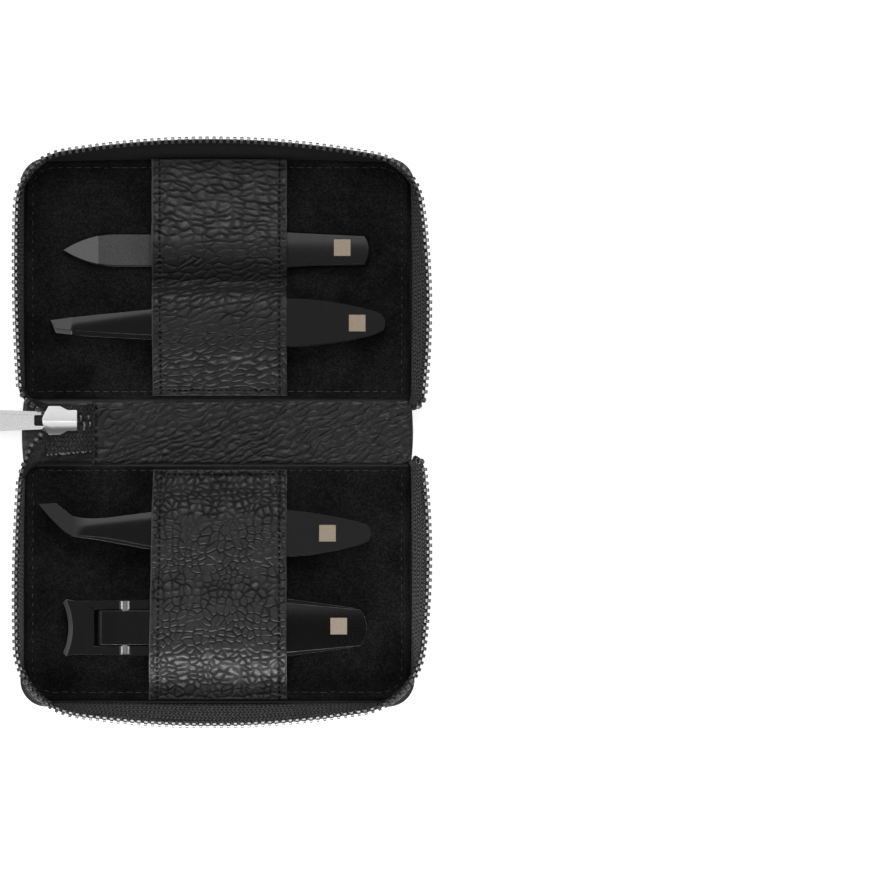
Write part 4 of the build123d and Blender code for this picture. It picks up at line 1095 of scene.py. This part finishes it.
entry(1, "front", FRONT_ENTRY, FRONT_SEWN, 83)
entry(-1, "back", BACK_ENTRY, BACK_SEWN, 85)
tail()


# --- pull of the slider

THONG_X, THONG_Y, THONG_Z = -67.423, 3.2, 2.817
THONG_END = -100.4


def thong():
    """Leather strip folded round the bar of the tab and sewn to itself."""
    stations, ring, turns = 150, 36, 60
    t = np.linspace(0, 1, stations)[:, None]
    x = THONG_X - 1.6 + (THONG_END - THONG_X + 1.6) * t
    a = full_turn(ring)
    square = (np.abs(np.cos(a)) ** 6 + np.abs(np.sin(a)) ** 6) ** (-1 / 6)
    cy, cz = np.cos(a) * square, np.sin(a) * square
    half_w = 1.86 + 0.14 * np.sin(x * 2.85) + 0.08 * (value_noise(x, x * 0, 95, 1.7) - 0.5)
    half_t = 1.12 + 0.06 * np.sin(x * 2.85 + 1.0)
    middle = THONG_Z - 1.45
    grow = np.where(t > 0.985, 0.93, 1.0)
    seam = np.exp(-((cz / 0.12) ** 2)) * (np.abs(cy) > 0.9)
    y = THONG_Y + half_w * grow * cy - 0.22 * seam * np.sign(cy)
    x = x + 0 * y
    height, crease = pebbles(x, y + 2.2 * cz, 1.5, 97, (1.2, 1.0), 0.1)
    z = middle + half_t * grow * cz - 0.12 * (1 - height) * cz
    x = np.where(t > 0.9, x + 10.5 * (cz > 0) * (t - 0.9), x)
    strip = np.stack([x, y, z], -1), mirror_faces(capped(stations, ring), -1)
    profile = np.array([(1.45, -1.95), (1.45, 1.95), (1.75, 2.02), (2.2, 2.02), (2.55, 1.95), (2.64, 1.6),
                        (2.64, -1.6), (2.55, -1.95), (2.2, -2.02), (1.75, -2.02)])
    radius, width = profile.T
    turn = full_turn(turns)[:, None]
    loop = [THONG_X + radius * np.cos(turn), THONG_Y + width + 0 * turn, THONG_Z + radius * np.sin(turn)]
    n = len(profile)
    loop_faces = []
    for i in range(turns):
        a, b = i * n, (i + 1) % turns * n
        loop_faces += [[a + k, b + k, b + (k + 1) % n, a + (k + 1) % n] for k in range(n)]
    # Painted shade: the crease attribute darkens the grain's creases and the seam.
    tone = np.concatenate([np.maximum(crease * 0.8, 0.8 * seam).ravel(), np.zeros(turns * n)])
    both = merge([strip, (np.stack(loop, -1), loop_faces)])
    obj = make("thong_leather", *both, LEATHER, "pull_thong", "leather", values={"crease": tone})
    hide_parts("pull_thong")
    runs = []
    for y0 in (-1.3, 1.3):
        for z0 in (middle + 1.13, middle - 1.13):
            ends = [(THONG_X - 3.4, THONG_Y + y0, z0), (THONG_END + 2.4, THONG_Y + y0, z0)]
            runs.append(stitch_run(ends, 2.2, 1.5, 0.17))
    make("thong_stitches", *merge(runs), THREAD, "pull_thong", "leather")


thong()


# --- marks and finish of the metal


def surface(nodes):
    """Function that gives the height of a set of CAD nodes at a place, in millimetres."""
    trees = []
    for node in nodes:
        mesh = NODES[node].data
        place = NODES[node].matrix_world
        corners = [place @ v.co for v in mesh.vertices]
        trees.append(BVHTree.FromPolygons(corners, [f.vertices[:] for f in mesh.polygons]))

    def height(x, y):
        hits = [tree.ray_cast(Vector((x * MM, y * MM, 0.05)), Vector((0, 0, -1)))[0] for tree in trees]
        return max(hit.z for hit in hits if hit) / MM
    return height


def inlay(name, nodes, body, material, slot, sides_at, x0, x1, rise):
    """Thin piece that follows the top of a tool between two X, between the two Y of sides_at(x)."""
    height = surface(nodes)
    rows, cols = 9, max(3, int((x1 - x0) / 0.5) + 1)
    top = []
    for v in np.linspace(0, 1, rows):
        for x in np.linspace(x0, x1, cols):
            low, high = sides_at(x)
            y = low + (high - low) * v
            top.append((x, y, height(x, y) + rise))
    points = np.concatenate([top, top - np.array([0, 0, 0.12])])
    make(name, points, grid_faces(rows, cols) + rim_faces(rows, cols), material, body, slot, smooth=False)


MARK_SIZE = 4.4
for name, nodes, body, x, y in (
    ("file_mark", ["nail_file"], "nail_file", 33.3, 49.2),
    ("slant_mark", ["slant_tweezers_upper_leg"], "slant_tweezers_leg", 37.3, 29.1),
    ("claw_mark", ["claw_tweezers_upper_leg"], "claw_tweezers_leg", 29.4, -26.8),
    ("clipper_mark", ["clipper_lever"], "clipper_lever", 32.4, -51.5),
):
    inlay(name, nodes, body, MARK, "bright_metal", lambda x, y=y: (y - MARK_SIZE / 2, y + MARK_SIZE / 2),
          x - MARK_SIZE / 2, x + MARK_SIZE / 2, 0.05)


def abrasive_sides(x):
    """Sides of the file's rough face at an X: they follow the leaf shape of the blade."""
    xs, halves = [-41.5, -39.0, -36.2, -33.8, -31.6, -29.4, -27.3], [0.0, 1.48, 2.75, 3.54, 4.05, 4.36, 4.5]
    half = np.interp(x, xs, halves) - 0.5
    return 48.6 - half, 48.6 + half


inlay("file_abrasive", ["nail_file"], "nail_file", GRIT, "black_steel", abrasive_sides, -31.6, -8.4, 0.06)


def axle_sleeves():
    """Bright steel collars over the ears of the clipper, about its axle."""
    x, z, radius, ring = -24.4, 8.1, 1.74, 60
    angle = full_turn(ring)
    parts = []
    for ends in ((-46.98, -44.85), (-58.95, -56.82)):
        points = [np.column_stack([x + radius * np.cos(angle), np.full(ring, y), z + radius * np.sin(angle)])
                  for y in ends]
        parts.append((points, capped(2, ring)))
    make("clipper_axle_collars", *merge(parts), AXLE_STEEL, "clipper_jaw", "bright_metal", smooth=False)


axle_sleeves()


def soften(node, width, wear_and_highlight=False):
    """Rounds the hard edges of a CAD piece for the render. With the last argument set, the bevels are of
    lighter steel: a painted highlight along the edges.
    """
    obj = NODES[node]
    weld = obj.modifiers.new("weld", "WELD")
    weld.merge_threshold = 1e-6
    bevel = obj.modifiers.new("bevel", "BEVEL")
    bevel.width = width * MM
    bevel.segments = 3
    bevel.limit_method = "ANGLE"
    bevel.angle_limit = math.radians(28)
    bevel.use_clamp_overlap = True
    # Painted highlight: the bevel faces take the lighter steel.
    if wear_and_highlight:
        obj.data.materials.append(EDGE_HIGHLIGHT_STEEL)
        bevel.material = 1
    flat = obj.modifiers.new("flat", "WEIGHTED_NORMAL")
    flat.weight = 100
    flat.keep_sharp = False


for node, width in {
    "slider_body": 0.25, "pull_tab": 0.3, "slider_bail": 0.1, "nail_file": 0.15, "badge_rim": 0.12,
    "slant_tweezers_upper_leg": 0.18, "slant_tweezers_lower_leg": 0.18,
    "claw_tweezers_upper_leg": 0.18, "claw_tweezers_lower_leg": 0.18,
    "clipper_lower_jaw": 0.2, "clipper_upper_jaw": 0.2, "clipper_lever": 0.24,
}.items():
    soften(node, width, node in ("clipper_lever", "clipper_upper_jaw"))


# --- camera, light, floor


def area(name, place, aim, size, power, size_y=None):
    lamp = bpy.data.lights.new(name, "AREA")
    lamp.shape = "RECTANGLE" if size_y else "SQUARE"
    lamp.size = size
    if size_y:
        lamp.size_y = size_y
    lamp.energy = power
    obj = bpy.data.objects.new(name, lamp)
    obj.location = place
    obj.rotation_euler = (Vector(aim) - Vector(place)).to_track_quat("-Z", "Y").to_euler()
    obj.visible_camera = False
    bpy.context.scene.collection.objects.link(obj)


def stage():
    scene = bpy.context.scene
    camera = bpy.data.cameras.new("camera")
    camera.sensor_width = 36
    camera.lens = 36 * 3000 / 232
    camera.clip_start, camera.clip_end = 0.1, 20
    eye = bpy.data.objects.new("camera", camera)
    eye.location = (0.058, -0.00067, 3.0)
    scene.collection.objects.link(eye)
    scene.camera = eye

    world = bpy.data.worlds.new("world")
    scene.world = world
    world.use_nodes = True
    nodes, links = world.node_tree.nodes, world.node_tree.links
    background = nodes["Background"]
    background.inputs[0].default_value = (1, 1, 1, 1)
    background.inputs[1].default_value = 0.1
    bright = nodes.new("ShaderNodeBackground")
    bright.inputs[1].default_value = 1.0
    path = nodes.new("ShaderNodeLightPath")
    mix = nodes.new("ShaderNodeMixShader")
    links.new(path.outputs["Is Camera Ray"], mix.inputs[0])
    links.new(background.outputs[0], mix.inputs[1])
    links.new(bright.outputs[0], mix.inputs[2])
    links.new(mix.outputs[0], nodes["World Output"].inputs["Surface"])

    floor = Shader("floor", Roughness=0.9, Specular_IOR_Level=0.1)
    floor.bsdf.inputs["Base Color"].default_value = (0.85, 0.85, 0.85, 1)
    path = floor.nodes.new("ShaderNodeLightPath").outputs["Is Camera Ray"]
    floor.bsdf.inputs["Emission Color"].default_value = (1, 1, 1, 1)
    floor.links.new(floor.times(path, 0.75), floor.bsdf.inputs["Emission Strength"])
    mesh = bpy.data.meshes.new("floor")
    corners = [(x, y, -0.0002) for x, y in ((-3, -3), (3, -3), (3, 3), (-3, 3))]
    mesh.from_pydata(corners, [], [(0, 1, 2, 3)])
    mesh.materials.append(floor.material)
    obj = bpy.data.objects.new("floor", mesh)
    scene.collection.objects.link(obj)

    area("top", (0.0, 0.75, 3.2), (0, 0, 0), 2.4, 13)
    area("key", (0.05, 0.8, 0.7), (0, 0, 0), 0.5, 4)
    area("rim", (0.0, -0.13, 0.038), (0, -0.064, 0.007), 0.1, 0.12, 0.022)
    area("right", (0.8, 0.1, 0.5), (0, 0, 0), 0.3, 1.5)
    area("left", (-0.8, 0.1, 0.5), (0, 0, 0), 0.4, 2.0)
    area("low", (0.0, -0.9, 0.3), (0, 0, 0), 0.9, 0.05, 0.05)
    scene.view_settings.view_transform = "Standard"


stage()
